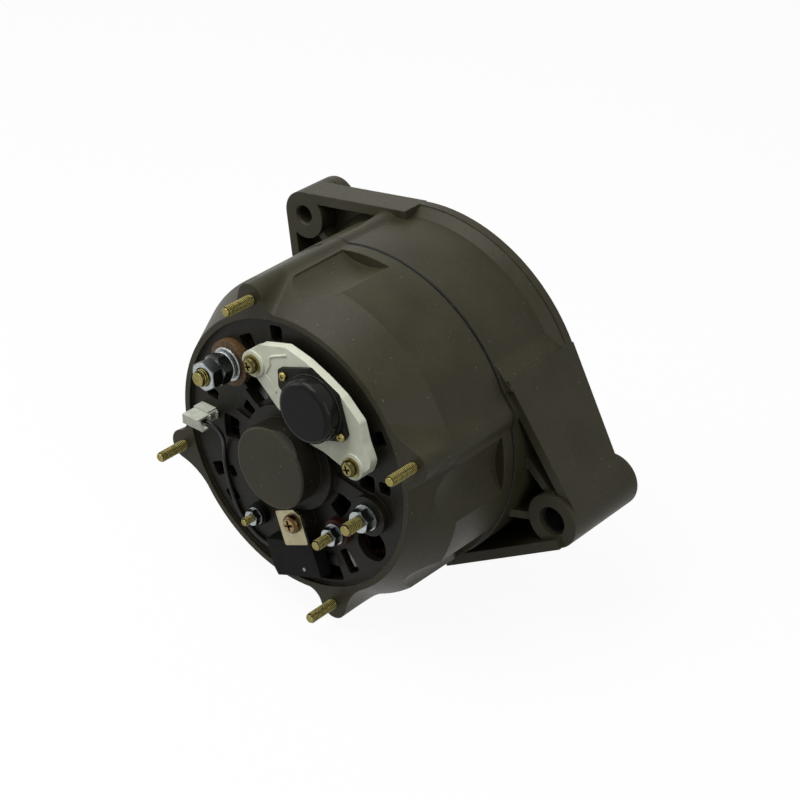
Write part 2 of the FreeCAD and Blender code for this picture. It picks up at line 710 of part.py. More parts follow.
def ear_section(base_r, lobe_r, station):
    lift = at(0, station, 0)
    broad = [p + lift for p in blend_arc(base_r, lobe_r, EAR_BLEND_BROAD)]
    tight = [at(p.x, station, -p.z) for p in blend_arc(base_r, lobe_r, EAR_BLEND_TIGHT)]
    foot = at(-EAR_R, 0, 0)
    edges = [
        Part.Arc(*broad).toShape(),
        Part.Arc(broad[2], at(BOLT_CIRCLE_R + lobe_r, station, 0), tight[2]).toShape(),
        Part.Arc(*tight[::-1]).toShape(),
        Part.makeLine(tight[0], tight[0] + foot),
        Part.makeLine(tight[0] + foot, broad[0] + foot),
        Part.makeLine(broad[0] + foot, broad[0]),
    ]
    return Part.Wire(edges)


def ear(sections, angle):
    wires = [ear_section(*section) for section in sections]
    return turned(Part.makeLoft(wires, True, True), angle)


def valleys():
    reach = VALLEY_FLOOR_R + VALLEY_CUT_R
    angles = [angle - VALLEY_OFFSET for angle in BOLT_ANGLES]
    angles.append(BOLT_ANGLES[-1] + EXTRA_VALLEY_OFFSET)
    return [rod(*spot(reach, angle), VALLEY_CUT_R, -1.0, SEAM - VALLEY_LIP) for angle in angles]


def vent(inner, outer, first, last):
    window = sector(inner, outer, first, last, -COLLAR_REACH - OVER, WALL_INSIDE + OVER)
    return window.makeFillet(VENT_ROUND, [e for e in window.Edges if is_axial(e)])


def rear_vents():
    holes = [vent(RIM_STEP_R - deep, RIM_STEP_R - shallow, first, last)
             for shallow, deep, first, last in RIM_VENTS]
    holes += [vent(COLLAR_R + start, COLLAR_R + end, first, last)
              for start, end, first, last in BOSS_VENTS]
    holes.append(rod(*spot(RIM_STEP_R - BIG_VENT_INSET, BIG_VENT_ANGLE), BIG_VENT_R, -1.0,
                     WALL_INSIDE + OVER))
    return holes


def rear_ribs():
    top = DISC_DEPTH - RIB_HEIGHT
    root = COLLAR_R - OVER
    ribs = [block(root, COLLAR_R + RIB_LENGTH, RIB_HALF, top, WALL_INSIDE, angle)
            for angle in RIB_ANGLES]
    web_end = RIM_STEP_R - GROUND_INSET
    return ribs + [block(root, web_end, WEB_HALF, top, WALL_INSIDE, WEB_ANGLE)]


def rear_bracket():
    seat = REAR_BEARING["outer"] + BEARING_FIT
    lip = seat - CUP_WALL
    cup_end = CUP_FLOOR - BOSS_REACH
    cone_top = HOUSING_R - CONE_DRAFT
    outside = revolved([
        (0, -BOSS_REACH), (BOSS_R, -BOSS_REACH), (BOSS_R, -COLLAR_REACH),
        (COLLAR_R, -COLLAR_REACH), (COLLAR_R, 0), (REAR_RIM_R, 0), (cone_top, CONE_LENGTH),
        (HOUSING_R, SEAM - VALLEY_LIP), (HOUSING_R, SEAM - SEAM_CHAMFER),
        (HOUSING_R - SEAM_CHAMFER, SEAM), (0, SEAM)])
    outside = rounded(outside, BOSS_ROUND, lambda edge: is_ring(edge, -BOSS_REACH))
    body = cut(outside, valleys())
    ear_stations = [(REAR_RIM_R, EAR_R, 0), (cone_top, EAR_R, CONE_LENGTH),
                    (HOUSING_R, EAR_R, SEAM)]
    body = fused([body] + [ear(ear_stations, a) for a in BOLT_ANGLES])
    recess = tube(0, 0, COLLAR_R, RIM_STEP_R, -1.0, DISC_DEPTH)
    inside = revolved([
        (0, cup_end), (lip, cup_end), (lip, REAR_BEARING_START), (seat, REAR_BEARING_START),
        (seat, WALL_INSIDE), (WALL_FOOT_R, WALL_INSIDE), (INNER_R, CONE_LENGTH - CORE_LEDGE),
        (INNER_R, CORE_START), (SEAT_BORE_R, CORE_START), (SEAT_BORE_R, SEAM + OVER),
        (0, SEAM + OVER)])
    body = cut(body, [inside, recess])
    body = cut(fused([body] + rear_ribs()), rear_vents() + [brush_opening()])
    pads = [rod(GROUND_X, GROUND_Z, GROUND_BOSS_R, -GROUND_BOSS_TOP, WALL_INSIDE),
            rod(CAPACITOR_X, CAPACITOR_Z, CAPACITOR_BOSS_R, -CAPACITOR_BOSS_TOP, WALL_INSIDE)]
    for angle in PLATE_SCREW_ANGLES:
        pads.append(rod(*spot(PLATE_SCREW_CIRCLE_R, angle), SPACER_TUBE_R, WALL_INSIDE,
                        NEGATIVE_PLATE))
    return cut(fused([body] + pads), rear_holes() + [boss_facet()])


def boss_facet():
    face = -BOSS_REACH
    inner = BOSS_R - FACET_INSET
    outer = BOSS_R + OVER
    corners = [at(inner, face, -BOSS_R), at(outer, face + FACET_DROP, -BOSS_R),
               at(outer, face - OVER, -BOSS_R), at(inner, face - OVER, -BOSS_R)]
    wedge = Part.Face(Part.makePolygon(corners + corners[:1])).extrude(at(0, 0, 2 * BOSS_R))
    return turned(wedge, FACET_ANGLE)


def rear_holes():
    through = (-BOSS_REACH, NEGATIVE_PLATE + OVER)
    holes = bolt_holes(BOLT_R * ENGAGED_SHARE + SLIP_FIT, -1.0, BOLT_GRIP)
    holes += bolt_holes(BOLT_R + SLIP_FIT, BOLT_GRIP, SEAM + OVER)
    holes.append(rod(BATTERY_X, BATTERY_Z, BATTERY_R + BATTERY_SLEEVE + SLIP_FIT, *through))
    holes.append(rod(PHASE_X, PHASE_Z, PHASE_R + PHASE_SLEEVE + SLIP_FIT, *through))
    holes.append(rod(LAMP_X, LAMP_Z, LAMP_R + LAMP_SLEEVE + SLIP_FIT, *through))
    holes.append(rod(GROUND_X, GROUND_Z, GROUND_R * ENGAGED_SHARE + SLIP_FIT, -BOSS_REACH,
                     WALL_INSIDE - GROUND_LAND / 2))
    holes.append(rod(CAPACITOR_X, CAPACITOR_Z, CAPACITOR_SCREW_R + SLIP_FIT, *through))
    for x, z in HOLDER_SCREWS:
        holes.append(rod(x, z, HOLDER_SCREW_R + SLIP_FIT, *through))
    for angle in PLATE_SCREW_ANGLES:
        holes.append(rod(*spot(PLATE_SCREW_CIRCLE_R, angle), PLATE_SCREW_R + SLIP_FIT,
                         WALL_INSIDE - PLATE_SCREW_GRIP - PASS_CLEARANCE, NEGATIVE_PLATE + OVER))
    return holes


def drive_bracket():
    outside = revolved([
        (0, SEAM), (SKIN_R - SEAM_CHAMFER, SEAM), (SKIN_R, SEAM + SEAM_CHAMFER),
        (SKIN_R, FLANGE_START - FLANGE_THICKNESS), (FLANGE_R - FLANGE_BREAK, FLANGE_START),
        (FLANGE_R, FLANGE_START), (FLANGE_R, DRIVE_FACE - FLANGE_BREAK),
        (FLANGE_R - FLANGE_BREAK, DRIVE_FACE), (0, DRIVE_FACE)])
    flared = EAR_R + EAR_FLARE
    ear_stations = [(SKIN_R, EAR_R, SEAM), (SKIN_R, EAR_R, CORE_END),
                    (SKIN_R, flared, HEAD_SEAT)]
    ridges = [ear(ear_stations, a) for a in BOLT_ANGLES]
    body = fused([outside] + ridges + pivot_lug() + adjusting_lug())
    inside = revolved([(0, SEAM - OVER), (SEAT_BORE_R, SEAM - OVER), (SEAT_BORE_R, CORE_END),
                       (INNER_R, CORE_END), (INNER_R, DRIVE_WALL_START), (0, DRIVE_WALL_START)])
    dish = rod(0, 0, DISH_R, DRIVE_WALL_END, PIVOT_END)
    body = cut(body, [inside, dish])
    pads = [rod(*spot(BOLT_CIRCLE_R, a), EAR_R, DRIVE_WALL_START, HEAD_SEAT) for a in BOLT_ANGLES]
    hub = rod(0, 0, HUB_R, DRIVE_WALL_START, HUB_END)
    body = fused([body, hub] + pads)
    return cut(body, drive_holes())


def drive_holes():
    bearing_r = FRONT_BEARING["outer"] + BEARING_FIT
    head_r = BOLT_HEAD_FLATS / math.sqrt(3) + HEAD_CLEARANCE
    holes = bolt_holes(BOLT_R + SCREW_CLEARANCE, SEAM - OVER, DRIVE_FACE + OVER)
    holes += bolt_holes(head_r, HEAD_SEAT, DRIVE_FACE + OVER)
    holes.append(rod(0, 0, bearing_r, DRIVE_WALL_START - OVER, FRONT_BEARING_END))
    holes.append(rod(0, 0, bearing_r - HUB_SHOULDER, DRIVE_WALL_START - OVER, HUB_END + OVER))
    holes.append(rod(PIVOT_X, PIVOT_Z, PIVOT_BORE_R, PIVOT_START - OVER, PIVOT_END + OVER))
    holes.append(adjusting_bore())
    for i in range(WINDOW_COUNT):
        middle = (i + 0.5) * 360.0 / WINDOW_COUNT + BOLT_FIRST_ANGLE
        holes.append(sector(WINDOW_INNER_R, WINDOW_OUTER_R, middle - WINDOW_HALF_ANGLE,
                            middle + WINDOW_HALF_ANGLE, DRIVE_WALL_START - OVER,
                            DRIVE_WALL_END + OVER))
    for place in retainer_places():
        holes.append(rod(*place, PLATE_SCREW_R + SLIP_FIT, DRIVE_WALL_START - OVER,
                         DRIVE_WALL_START + RETAINER_SCREW_DEPTH))
    return holes


def retainer_places():
    return [spot(RETAINER_SCREW_CIRCLE_R, i * 360.0 / RETAINER_SCREW_COUNT)
            for i in range(RETAINER_SCREW_COUNT)]


def adjusting_bore():
    wide = ADJUST_BORE_R + THREAD_CHAMFER
    bore = revolved([(0, ADJUST_START - OVER), (wide, ADJUST_START - OVER), (wide, ADJUST_START),
                     (ADJUST_BORE_R, ADJUST_START + THREAD_CHAMFER),
                     (ADJUST_BORE_R, ADJUST_END - THREAD_CHAMFER), (wide, ADJUST_END),
                     (wide, ADJUST_END + OVER), (0, ADJUST_END + OVER)])
    bore.translate(at(ADJUST_X, 0, ADJUST_Z))
    return bore


def through_bolts():
    bolts = []
    for angle in BOLT_ANGLES:
        place = spot(BOLT_CIRCLE_R, angle)
        shank = stud(*place, BOLT_R, -BOLT_REACH, 0.0, HEAD_SEAT + OVER)
        head = hexagon(*place, BOLT_HEAD_FLATS, HEAD_SEAT, HEAD_SEAT + BOLT_HEAD_HEIGHT, angle)
        bolts.append(fused([shank, head]))
    return bolts


def pivot_bush():
    return tube(PIVOT_X, PIVOT_Z, BUSH_BORE_R, PIVOT_BORE_R - BEARING_FIT,
                PIVOT_START + BUSH_INSET, PIVOT_END - BUSH_INSET)


# Stator
def stator_core():
    ring = tube(0, 0, CORE_BORE_R, CORE_R, CORE_START, CORE_END)
    slot = block(CORE_BORE_R - OVER, CORE_BORE_R + SLOT_DEPTH, SLOT_WIDTH / 2,
                 CORE_START - OVER, CORE_END + OVER, 0)
    return cut(ring, [turned(slot, i * 360.0 / SLOT_COUNT) for i in range(SLOT_COUNT)])


def stator_winding():
    inner = CORE_BORE_R + WINDING_STEP
    outer = CORE_BORE_R + SLOT_DEPTH - SCREW_CLEARANCE
    half = SLOT_WIDTH / 2 - SCREW_CLEARANCE
    wire = block(inner + WIRE_STEP, outer, half, CORE_START - WIRE_OVERHANG,
                 CORE_END + WIRE_OVERHANG, 0)
    bars = [turned(wire, i * 360.0 / SLOT_COUNT) for i in range(SLOT_COUNT)]
    rear = tube(0, 0, inner, COIL_END_R, CORE_START - COIL_END, CORE_START - PASS_CLEARANCE)
    front = tube(0, 0, inner, COIL_END_R, CORE_END + PASS_CLEARANCE, COIL_FRONT)
    rear = rounded(rear, COIL_END_ROUND, lambda edge: is_ring(edge, CORE_START - COIL_END))
    front = rounded(front, COIL_END_ROUND, lambda edge: is_ring(edge, COIL_FRONT))
    return fused([rear, front] + bars)


# Rotor
def pole_half_rear():
    disc_end = POLE_START + POLE_DISC
    disc = rod(0, 0, POLE_DISC_R, POLE_START, disc_end)
    hub = rod(0, 0, POLE_HUB_R, POLE_START, CORE_MIDDLE)
    finger = claw(disc_end)
    claws = [turned(finger, i * 360.0 / POLE_PAIRS) for i in range(POLE_PAIRS)]
    bore = rod(0, 0, SHAFT_R + BEARING_FIT, POLE_START - OVER, CORE_MIDDLE + OVER)
    return cut(fused([disc, hub] + claws), [bore])


def claw(disc_end):
    over = POLE_R + CAST_WALL
    root_in = POLE_DISC_R - CLAW_ROOT_SINK
    tip_in = POLE_R - CLAW_TIP_DEPTH
    root = claw_outline(root_in, over, CLAW_ROOT_HALF, disc_end)
    tip = claw_outline(tip_in, over, CLAW_TIP_HALF, POLE_END - CLAW_TIP_GAP)
    finger = Part.makeLoft([root, tip], True, True)
    heel = prism([(root_in, CLAW_ROOT_HALF), (over, CLAW_ROOT_HALF), (over, -CLAW_ROOT_HALF),
                  (root_in, -CLAW_ROOT_HALF)], POLE_START, disc_end)
    skin = revolved([(0, POLE_START), (POLE_R - CLAW_HEEL_CHAMFER, POLE_START),
                     (POLE_R, POLE_START + CLAW_HEEL_CHAMFER), (POLE_R, POLE_END),
                     (0, POLE_END)])
    return finger.fuse(heel).common(skin)


def claw_outline(inner, outer, half, station):
    corners = [at(inner, station, half), at(outer, station, half), at(outer, station, -half),
               at(inner, station, -half)]
    return Part.makePolygon(corners + corners[:1])


def pole_half_front():
    half = pole_half_rear()
    half.rotate(at(0, CORE_MIDDLE, 0), at(1, 0, 0), 180)
    return turned(half, 180.0 / POLE_PAIRS)


def coil_bobbin():
    start = POLE_START + POLE_DISC + SLIP_FIT
    end = POLE_END - POLE_DISC - SLIP_FIT
    inner = POLE_HUB_R + SLIP_FIT
    return revolved([(inner, start), (COIL_R, start), (COIL_R, start + BOBBIN_WALL),
                     (inner + BOBBIN_WALL, start + BOBBIN_WALL),
                     (inner + BOBBIN_WALL, end - BOBBIN_WALL), (COIL_R, end - BOBBIN_WALL),
                     (COIL_R, end), (inner, end)])


def field_coil():
    start = POLE_START + POLE_DISC + SLIP_FIT + BOBBIN_WALL
    end = POLE_END - POLE_DISC - SLIP_FIT - BOBBIN_WALL
    inner = POLE_HUB_R + SLIP_FIT + BOBBIN_WALL
    return tube(0, 0, inner, COIL_R - COIL_FILL_STEP, start, end)


def rotor_shaft():
    step = INSULATOR_END + OVER
    neck = JOURNAL_R - UNDERCUT_DEPTH
    body = revolved([
        (0, REAR_BEARING_START), (REAR_JOURNAL_R - SHAFT_BREAK, REAR_BEARING_START),
        (REAR_JOURNAL_R, REAR_BEARING_START + SHAFT_BREAK), (REAR_JOURNAL_R, step),
        (SHAFT_R, step), (SHAFT_R, POLE_END), (JOURNAL_R, POLE_END),
        (JOURNAL_R, SHOULDER - UNDERCUT), (neck, SHOULDER - UNDERCUT), (neck, SHOULDER),
        (JOURNAL_R, SHOULDER), (JOURNAL_R, SEAT_END), (THREAD_R, SEAT_END),
        (THREAD_R, SHAFT_TIP - TIP_CHAMFER), (THREAD_R - TIP_CHAMFER, SHAFT_TIP),
        (0, SHAFT_TIP)])
    socket = hexagon(0, 0, SOCKET_FLATS, SHAFT_TIP - SOCKET_DEPTH, SHAFT_TIP + OVER)
    return cut(body, [socket])


def ring_starts():
    return [RING_CENTRE - RING_PITCH / 2 - RING_WIDTH / 2,
            RING_CENTRE + RING_PITCH / 2 - RING_WIDTH / 2]


def slip_rings():
    inner = RING_R - RING_THICKNESS
    return [tube(0, 0, inner + SLIP_FIT, RING_R, start, start + RING_WIDTH)
            for start in ring_starts()]


def slip_ring_insulator():
    inner = RING_R - RING_THICKNESS
    collar_r = RING_R - COLLAR_SINK
    first, second = ring_starts()
    body = tube(0, 0, REAR_JOURNAL_R + BEARING_FIT, inner, REAR_BEARING_END, INSULATOR_END)
    collars = [tube(0, 0, inner - COLLAR_ROOT, collar_r, first + RING_WIDTH, second),
               tube(0, 0, inner - COLLAR_ROOT, collar_r, second + RING_WIDTH, INSULATOR_END)]
    return fused([body] + collars)


def race(bearing, start, inner_side):
    groove = bearing["ball"] + GROOVE_CLEARANCE
    half_land = bearing["ball"] * LAND_SHARE
    middle = start + bearing["width"] / 2
    if inner_side:
        blank = tube(0, 0, bearing["bore"] + BEARING_FIT, bearing["pitch"] - half_land, start,
                     start + bearing["width"])
    else:
        blank = tube(0, 0, bearing["pitch"] + half_land, bearing["outer"], start,
                     start + bearing["width"])
    circle = Part.Wire(Part.makeCircle(groove, at(bearing["pitch"], middle, 0), at(0, 0, 1)))
    return cut(blank, [Part.Face(circle).revolve(CENTRE, AXIS, 360)])


def ball_cage(bearing, start):
    pitch = bearing["pitch"]
    middle = start + bearing["width"] / 2
    half = bearing["ball"] * CAGE_SHARE
    cage = tube(0, 0, pitch - half, pitch + half, middle - CAGE_HALF_WIDTH,
                middle + CAGE_HALF_WIDTH)
    places = [polar(pitch, i * 360.0 / BALL_COUNT, middle) for i in range(BALL_COUNT)]
    pockets = [Part.makeSphere(bearing["ball"] + SLIP_FIT, place) for place in places]
    return [cut(cage, pockets)] + [Part.makeSphere(bearing["ball"], place) for place in places]


def rotor_spacer():
    return tube(0, 0, JOURNAL_R + BEARING_FIT, SPACER_R, POLE_END, FRONT_BEARING_START)


def fan_spacer():
    return tube(0, 0, JOURNAL_R + BEARING_FIT, SPACER_R, FRONT_BEARING_END, FAN_DISC_START)


def pulley_spacer():
    return tube(0, 0, JOURNAL_R + BEARING_FIT, SPACER_R, FAN_DISC_END, SHOULDER)


def cooling_fan():
    disc = tube(0, 0, JOURNAL_R + BEARING_FIT, FAN_R, FAN_DISC_START, FAN_DISC_END)
    start = FAN_DISC_START - FAN_BLADE_HEIGHT
    blade = Part.makeBox(FAN_R - FAN_BLADE_INNER_R + FAN_BLADE_SPARE, FAN_BLADE_HEIGHT + OVER,
                         FAN_BLADE_THICKNESS, at(0, start, -FAN_BLADE_THICKNESS / 2))
    blade.rotate(CENTRE, AXIS, FAN_BLADE_LEAN)
    blade.translate(at(FAN_BLADE_INNER_R, 0, 0))
    rim = rod(0, 0, FAN_R, start, FAN_DISC_END)
    blade = blade.common(rim)
    blades = [turned(blade, i * 360.0 / FAN_BLADE_COUNT) for i in range(FAN_BLADE_COUNT)]
    return fused([disc] + blades)


def bearing_retainer():
    start = DRIVE_WALL_START - RETAINER_THICKNESS
    plate = tube(0, 0, FRONT_BEARING["outer"] - HUB_SHOULDER, RETAINER_R, start, DRIVE_WALL_START)
    return cut(plate, [rod(*place, PLATE_SCREW_R + SCREW_CLEARANCE, start - OVER,
                           DRIVE_WALL_START + OVER) for place in retainer_places()])


def retainer_screws():
    seat = DRIVE_WALL_START - RETAINER_THICKNESS
    return [screw(*place, PLATE_SCREW_R, RETAINER_HEAD_R, RETAINER_HEAD, seat,
                  seat + RETAINER_SCREW_DEPTH) for place in retainer_places()]


# Brush gear and regulator
def brush_box_half():
    return BRUSH_WIDTH / 2 + BRUSH_SIDE_GAP + BOX_WALL


def brush_box_span():
    reach = RING_PITCH / 2 + BRUSH_THICKNESS / 2 + BRUSH_SIDE_GAP + BOX_WALL
    return RING_CENTRE - reach, RING_CENTRE + reach


def brush_opening():
    return block(COLLAR_R + BOX_TO_COLLAR, BOX_END_R + PASS_CLEARANCE,
                 brush_box_half() + PASS_CLEARANCE, -COLLAR_REACH - OVER, WALL_INSIDE + OVER,
                 BRUSH_ANGLE)


def holder_outline():
    outer = [spot(RIM_STEP_R - inset, angle) for inset, angle in HOLDER_OUTER]
    return outer + [spot(COLLAR_R + rise, angle) for rise, angle in HOLDER_INNER]


def holder_plate():
    plate = prism(holder_outline(), -HOLDER_TOP, -HOLDER_UNDERSIDE)
    return plate.makeFillet(HOLDER_ROUND, [e for e in plate.Edges if is_axial(e) and is_outer(e)])


def is_outer(edge):
    point = edge.Vertexes[0].Point
    return math.hypot(point.x, point.z) > COLLAR_R + HOLDER_CORNER_RISE


def brush_holder():
    relief = rod(0, 0, COLLAR_R + PASS_CLEARANCE, -COLLAR_REACH - PASS_CLEARANCE, DISC_DEPTH + OVER)
    rim = tube(0, 0, RIM_STEP_R - PASS_CLEARANCE, BOLT_CIRCLE_R, -PASS_CLEARANCE, DISC_DEPTH + OVER)
    bosses = [rod(x, z, HOLDER_BOSS_R, -HOLDER_TOP - HOLDER_BOSS_RISE, DISC_DEPTH)
              for x, z in HOLDER_SCREWS]
    start, end = brush_box_span()
    box = block(BOX_START_R, BOX_END_R, brush_box_half(), start, end, BRUSH_ANGLE)
    neck = block(COLLAR_R + BOX_TO_COLLAR + PASS_CLEARANCE, BOX_END_R, brush_box_half(),
                 -HOLDER_UNDERSIDE - OVER, start + OVER, BRUSH_ANGLE)
    body = cut(fused([holder_plate()] + bosses), [relief, rim])
    return cut(fused([body, box, neck]), holder_cuts())


def holder_cuts():
    half = BRUSH_WIDTH / 2 + BRUSH_SIDE_GAP
    end = BRUSH_TAIL_R + BRUSH_TRAVEL + SPRING_ROOM
    cuts = []
    for start in ring_starts():
        middle = start + RING_WIDTH / 2
        reach = BRUSH_THICKNESS / 2 + BRUSH_SIDE_GAP
        cuts.append(block(BOX_START_R - OVER, end, half, middle - reach, middle + reach,
                          BRUSH_ANGLE))
    for x, z in HOLDER_SCREWS:
        cuts.append(rod(x, z, HOLDER_SCREW_R + SCREW_CLEARANCE, -BOSS_REACH, WALL_INSIDE))
    for x, z in REGULATOR_SCREWS:
        cuts.append(rod(x, z, REGULATOR_SCREW_R + SLIP_FIT, -BOSS_REACH,
                        -HOLDER_TOP + REGULATOR_SCREW_DEPTH))
    return cuts


def brush(start):
    middle = start + RING_WIDTH / 2
    half = BRUSH_THICKNESS / 2
    body = block(RING_R - BRUSH_FACE_SPARE, BRUSH_TAIL_R, BRUSH_WIDTH / 2, middle - half,
                 middle + half, BRUSH_ANGLE)
    return cut(body, [rod(0, 0, BRUSH_TIP_R, middle - half - OVER, middle + half + OVER)])


def brush_spring(start):
    middle = start + RING_WIDTH / 2
    tail = BRUSH_TAIL_R + BRUSH_FACE_GAP
    length = BRUSH_TRAVEL + SPRING_ROOM - 2 * BRUSH_FACE_GAP
    outer = Part.makeCylinder(SPRING_R, length, at(tail, middle, 0), at(1, 0, 0))
    inner = Part.makeCylinder(SPRING_R - SPRING_WALL, length, at(tail, middle, 0), at(1, 0, 0))
    return turned(outer.cut(inner), BRUSH_ANGLE)


def holder_screws():
    seat = -HOLDER_TOP - HOLDER_BOSS_RISE - WASHER
    return [screw(x, z, HOLDER_SCREW_R, HOLDER_SCREW_HEAD_R, HOLDER_SCREW_HEAD, seat, WALL_INSIDE)
            for x, z in HOLDER_SCREWS]


def holder_washers():
    seat = -HOLDER_TOP - HOLDER_BOSS_RISE
    rim = HOLDER_SCREW_HEAD_R + HOLDER_WASHER_RIM
    return [tube(x, z, HOLDER_SCREW_R + SLIP_FIT, rim, seat - WASHER, seat)
            for x, z in HOLDER_SCREWS]


def regulator_plate():
    outline = [(CAP_X + x, CAP_Z + z) for x, z in REGULATOR_OUTLINE]
    plate = prism(outline, REGULATOR_SEAT, -HOLDER_TOP)
    plate = plate.makeFillet(REGULATOR_ROUND, [e for e in plate.Edges if is_axial(e)])
    holes = [rod(x, z, REGULATOR_SCREW_R + SCREW_CLEARANCE, -BOSS_REACH, 0)
             for x, z in REGULATOR_SCREWS]
    return cut(plate, holes)


def regulator_cap():
    top = REGULATOR_SEAT - CAP_HEIGHT
    cap = rod(CAP_X, CAP_Z, CAP_R, top, REGULATOR_SEAT)
    return rounded(cap, CAP_ROUND, lambda edge: is_ring(edge, top))


def regulator_screws():
    return [screw(x, z, REGULATOR_SCREW_R, REGULATOR_SCREW_HEAD_R, REGULATOR_SCREW_HEAD,
                  REGULATOR_SEAT, -HOLDER_TOP + REGULATOR_SCREW_DEPTH)
            for x, z in REGULATOR_SCREWS]


# Terminals
def headed_stud(x, z, radius, flats, tip, free_end, seat, head):
    shank = stud(x, z, radius, tip, free_end, seat + head / 2)
    return fused([shank, hexagon(x, z, flats, seat, seat + head)])


def collar_insulator(x, z, radius, sleeve, ring_r, ring_top, end):
    bore = radius + SLIP_FIT
    return fused([tube(x, z, bore, ring_r, -ring_top, DISC_DEPTH),
                  tube(x, z, bore, radius + sleeve, DISC_DEPTH, end)])


def battery_stud():
    return headed_stud(BATTERY_X, BATTERY_Z, BATTERY_R, BATTERY_FLATS, -BATTERY_REACH,
                       BATTERY_FACE - 2 * BATTERY_NUT, POSITIVE_BACK, BATTERY_HEAD)


def battery_insulator():
    ring = collar_insulator(BATTERY_X, BATTERY_Z, BATTERY_R, BATTERY_SLEEVE, BATTERY_RING_R,
                            BATTERY_RING_TOP, WALL_INSIDE)
    return [ring, tube(BATTERY_X, BATTERY_Z, BATTERY_R + SLIP_FIT, BATTERY_TUBE_R, WALL_INSIDE,
                       POSITIVE_PLATE)]


def battery_washers():
    bore = BATTERY_R + SLIP_FIT
    plain_end = BATTERY_FACE + SPLIT_WASHER
    return [tube(BATTERY_X, BATTERY_Z, bore, BATTERY_WASHER_R, plain_end, -BATTERY_RING_TOP),
            tube(BATTERY_X, BATTERY_Z, bore, BATTERY_SPRING_R, BATTERY_FACE, plain_end)]


def battery_nuts():
    middle = BATTERY_FACE - BATTERY_NUT
    inner, outer = BATTERY_NUT_TURNS
    return [nut(BATTERY_X, BATTERY_Z, BATTERY_R, BATTERY_FLATS, middle, BATTERY_FACE, inner),
            nut(BATTERY_X, BATTERY_Z, BATTERY_R, BATTERY_FLATS, middle - BATTERY_NUT, middle,
                outer)]


def ground_stud():
    return stud(GROUND_X, GROUND_Z, GROUND_R, -GROUND_REACH, GROUND_FACE - GROUND_NUT,
                WALL_INSIDE - GROUND_LAND)


def washer_and_nut(x, z, radius, flats, height, washer_r, washer_end, face):
    return [tube(x, z, radius + SLIP_FIT, washer_r, face, washer_end),
            nut(x, z, radius, flats, face - height, face, SMALL_NUT_TURN)]


def ground_nut():
    return washer_and_nut(GROUND_X, GROUND_Z, GROUND_R, GROUND_FLATS, GROUND_NUT,
                          GROUND_WASHER_R, -GROUND_BOSS_TOP, GROUND_FACE)


def phase_stud():
    return headed_stud(PHASE_X, PHASE_Z, PHASE_R, PHASE_FLATS, -PHASE_REACH,
                       PHASE_FACE - PHASE_NUT, WALL_INSIDE + SLEEVE_LIP, STUD_HEAD)


def phase_insulator():
    return collar_insulator(PHASE_X, PHASE_Z, PHASE_R, PHASE_SLEEVE, PHASE_RING_R,
                            PHASE_RING_TOP, WALL_INSIDE + SLEEVE_LIP)


def phase_nut():
    return washer_and_nut(PHASE_X, PHASE_Z, PHASE_R, PHASE_FLATS, PHASE_NUT, PHASE_WASHER_R,
                          -PHASE_RING_TOP, PHASE_FACE)


def lamp_stud():
    return headed_stud(LAMP_X, LAMP_Z, LAMP_R, LAMP_FLATS, -LAMP_REACH,
                       LAMP_FACE - LAMP_NUT, WALL_INSIDE + SLEEVE_LIP, STUD_HEAD)


def lamp_insulator():
    return collar_insulator(LAMP_X, LAMP_Z, LAMP_R, LAMP_SLEEVE, LAMP_RING_R, LAMP_RING_TOP,
                            WALL_INSIDE + SLEEVE_LIP)


def lamp_nut():
    return washer_and_nut(LAMP_X, LAMP_Z, LAMP_R, LAMP_FLATS, LAMP_NUT, LAMP_WASHER_R,
                          -LAMP_RING_TOP, LAMP_FACE)


# Rectifier
def screw_places():
    return [spot(PLATE_SCREW_CIRCLE_R, angle) for angle in PLATE_SCREW_ANGLES]


def rectifier_plate(start, battery_hole, screw_hole, diode_angles):
    plate = sector(PLATE_INNER_R, PLATE_OUTER_R, PLATE_FIRST_ANGLE, PLATE_LAST_ANGLE, start,
                   start + PLATE_THICKNESS)
    over = (start - OVER, start + PLATE_THICKNESS + OVER)
    holes = [rod(BATTERY_X, BATTERY_Z, battery_hole, *over)]
    holes += [rod(*place, screw_hole, *over) for place in screw_places()]
    holes += [rod(*spot(DIODE_CIRCLE_R, angle), DIODE_R + BEARING_FIT, *over)
              for angle in diode_angles]
    return cut(plate, holes)


def diode(angle, base, pin_from, pin_to):
    place = spot(DIODE_CIRCLE_R, angle)
    return fused([rod(*place, DIODE_R, base, base + DIODE_HEIGHT),
                  rod(*place, LEAD_PIN_R, pin_from, pin_to)])


def diodes():
    low = NEGATIVE_PLATE - DIODE_FOOT
    low_top = low + DIODE_HEIGHT
    high = POSITIVE_PLATE - DIODE_FOOT
    cans = [diode(angle, low, low_top, low_top + LEAD_PIN_LENGTH)
            for angle in NEGATIVE_DIODE_ANGLES]
    return cans + [diode(angle, high, high - LEAD_PIN_LENGTH, high)
                   for angle in POSITIVE_DIODE_ANGLES]


def rectifier_spacers():
    bore = PLATE_SCREW_R + SLIP_FIT
    spans = ((NEGATIVE_PLATE + PLATE_THICKNESS, POSITIVE_PLATE),
             (POSITIVE_BACK, POSITIVE_BACK + SPACER_END))
    return [tube(*place, bore, SPACER_TUBE_R, *ends) for place in screw_places()
            for ends in spans]


def rectifier_screws():
    seat = POSITIVE_BACK + SPACER_END
    return [fused([rod(*place, PLATE_SCREW_R, WALL_INSIDE - PLATE_SCREW_GRIP, seat + OVER),
                   rod(*place, PLATE_SCREW_HEAD_R, seat, seat + PLATE_SCREW_HEAD)])
            for place in screw_places()]


# Suppression capacitor, lead and connector
def from_capacitor(outline):
    return [(CAPACITOR_X + x, CAPACITOR_Z + z) for x, z in outline]


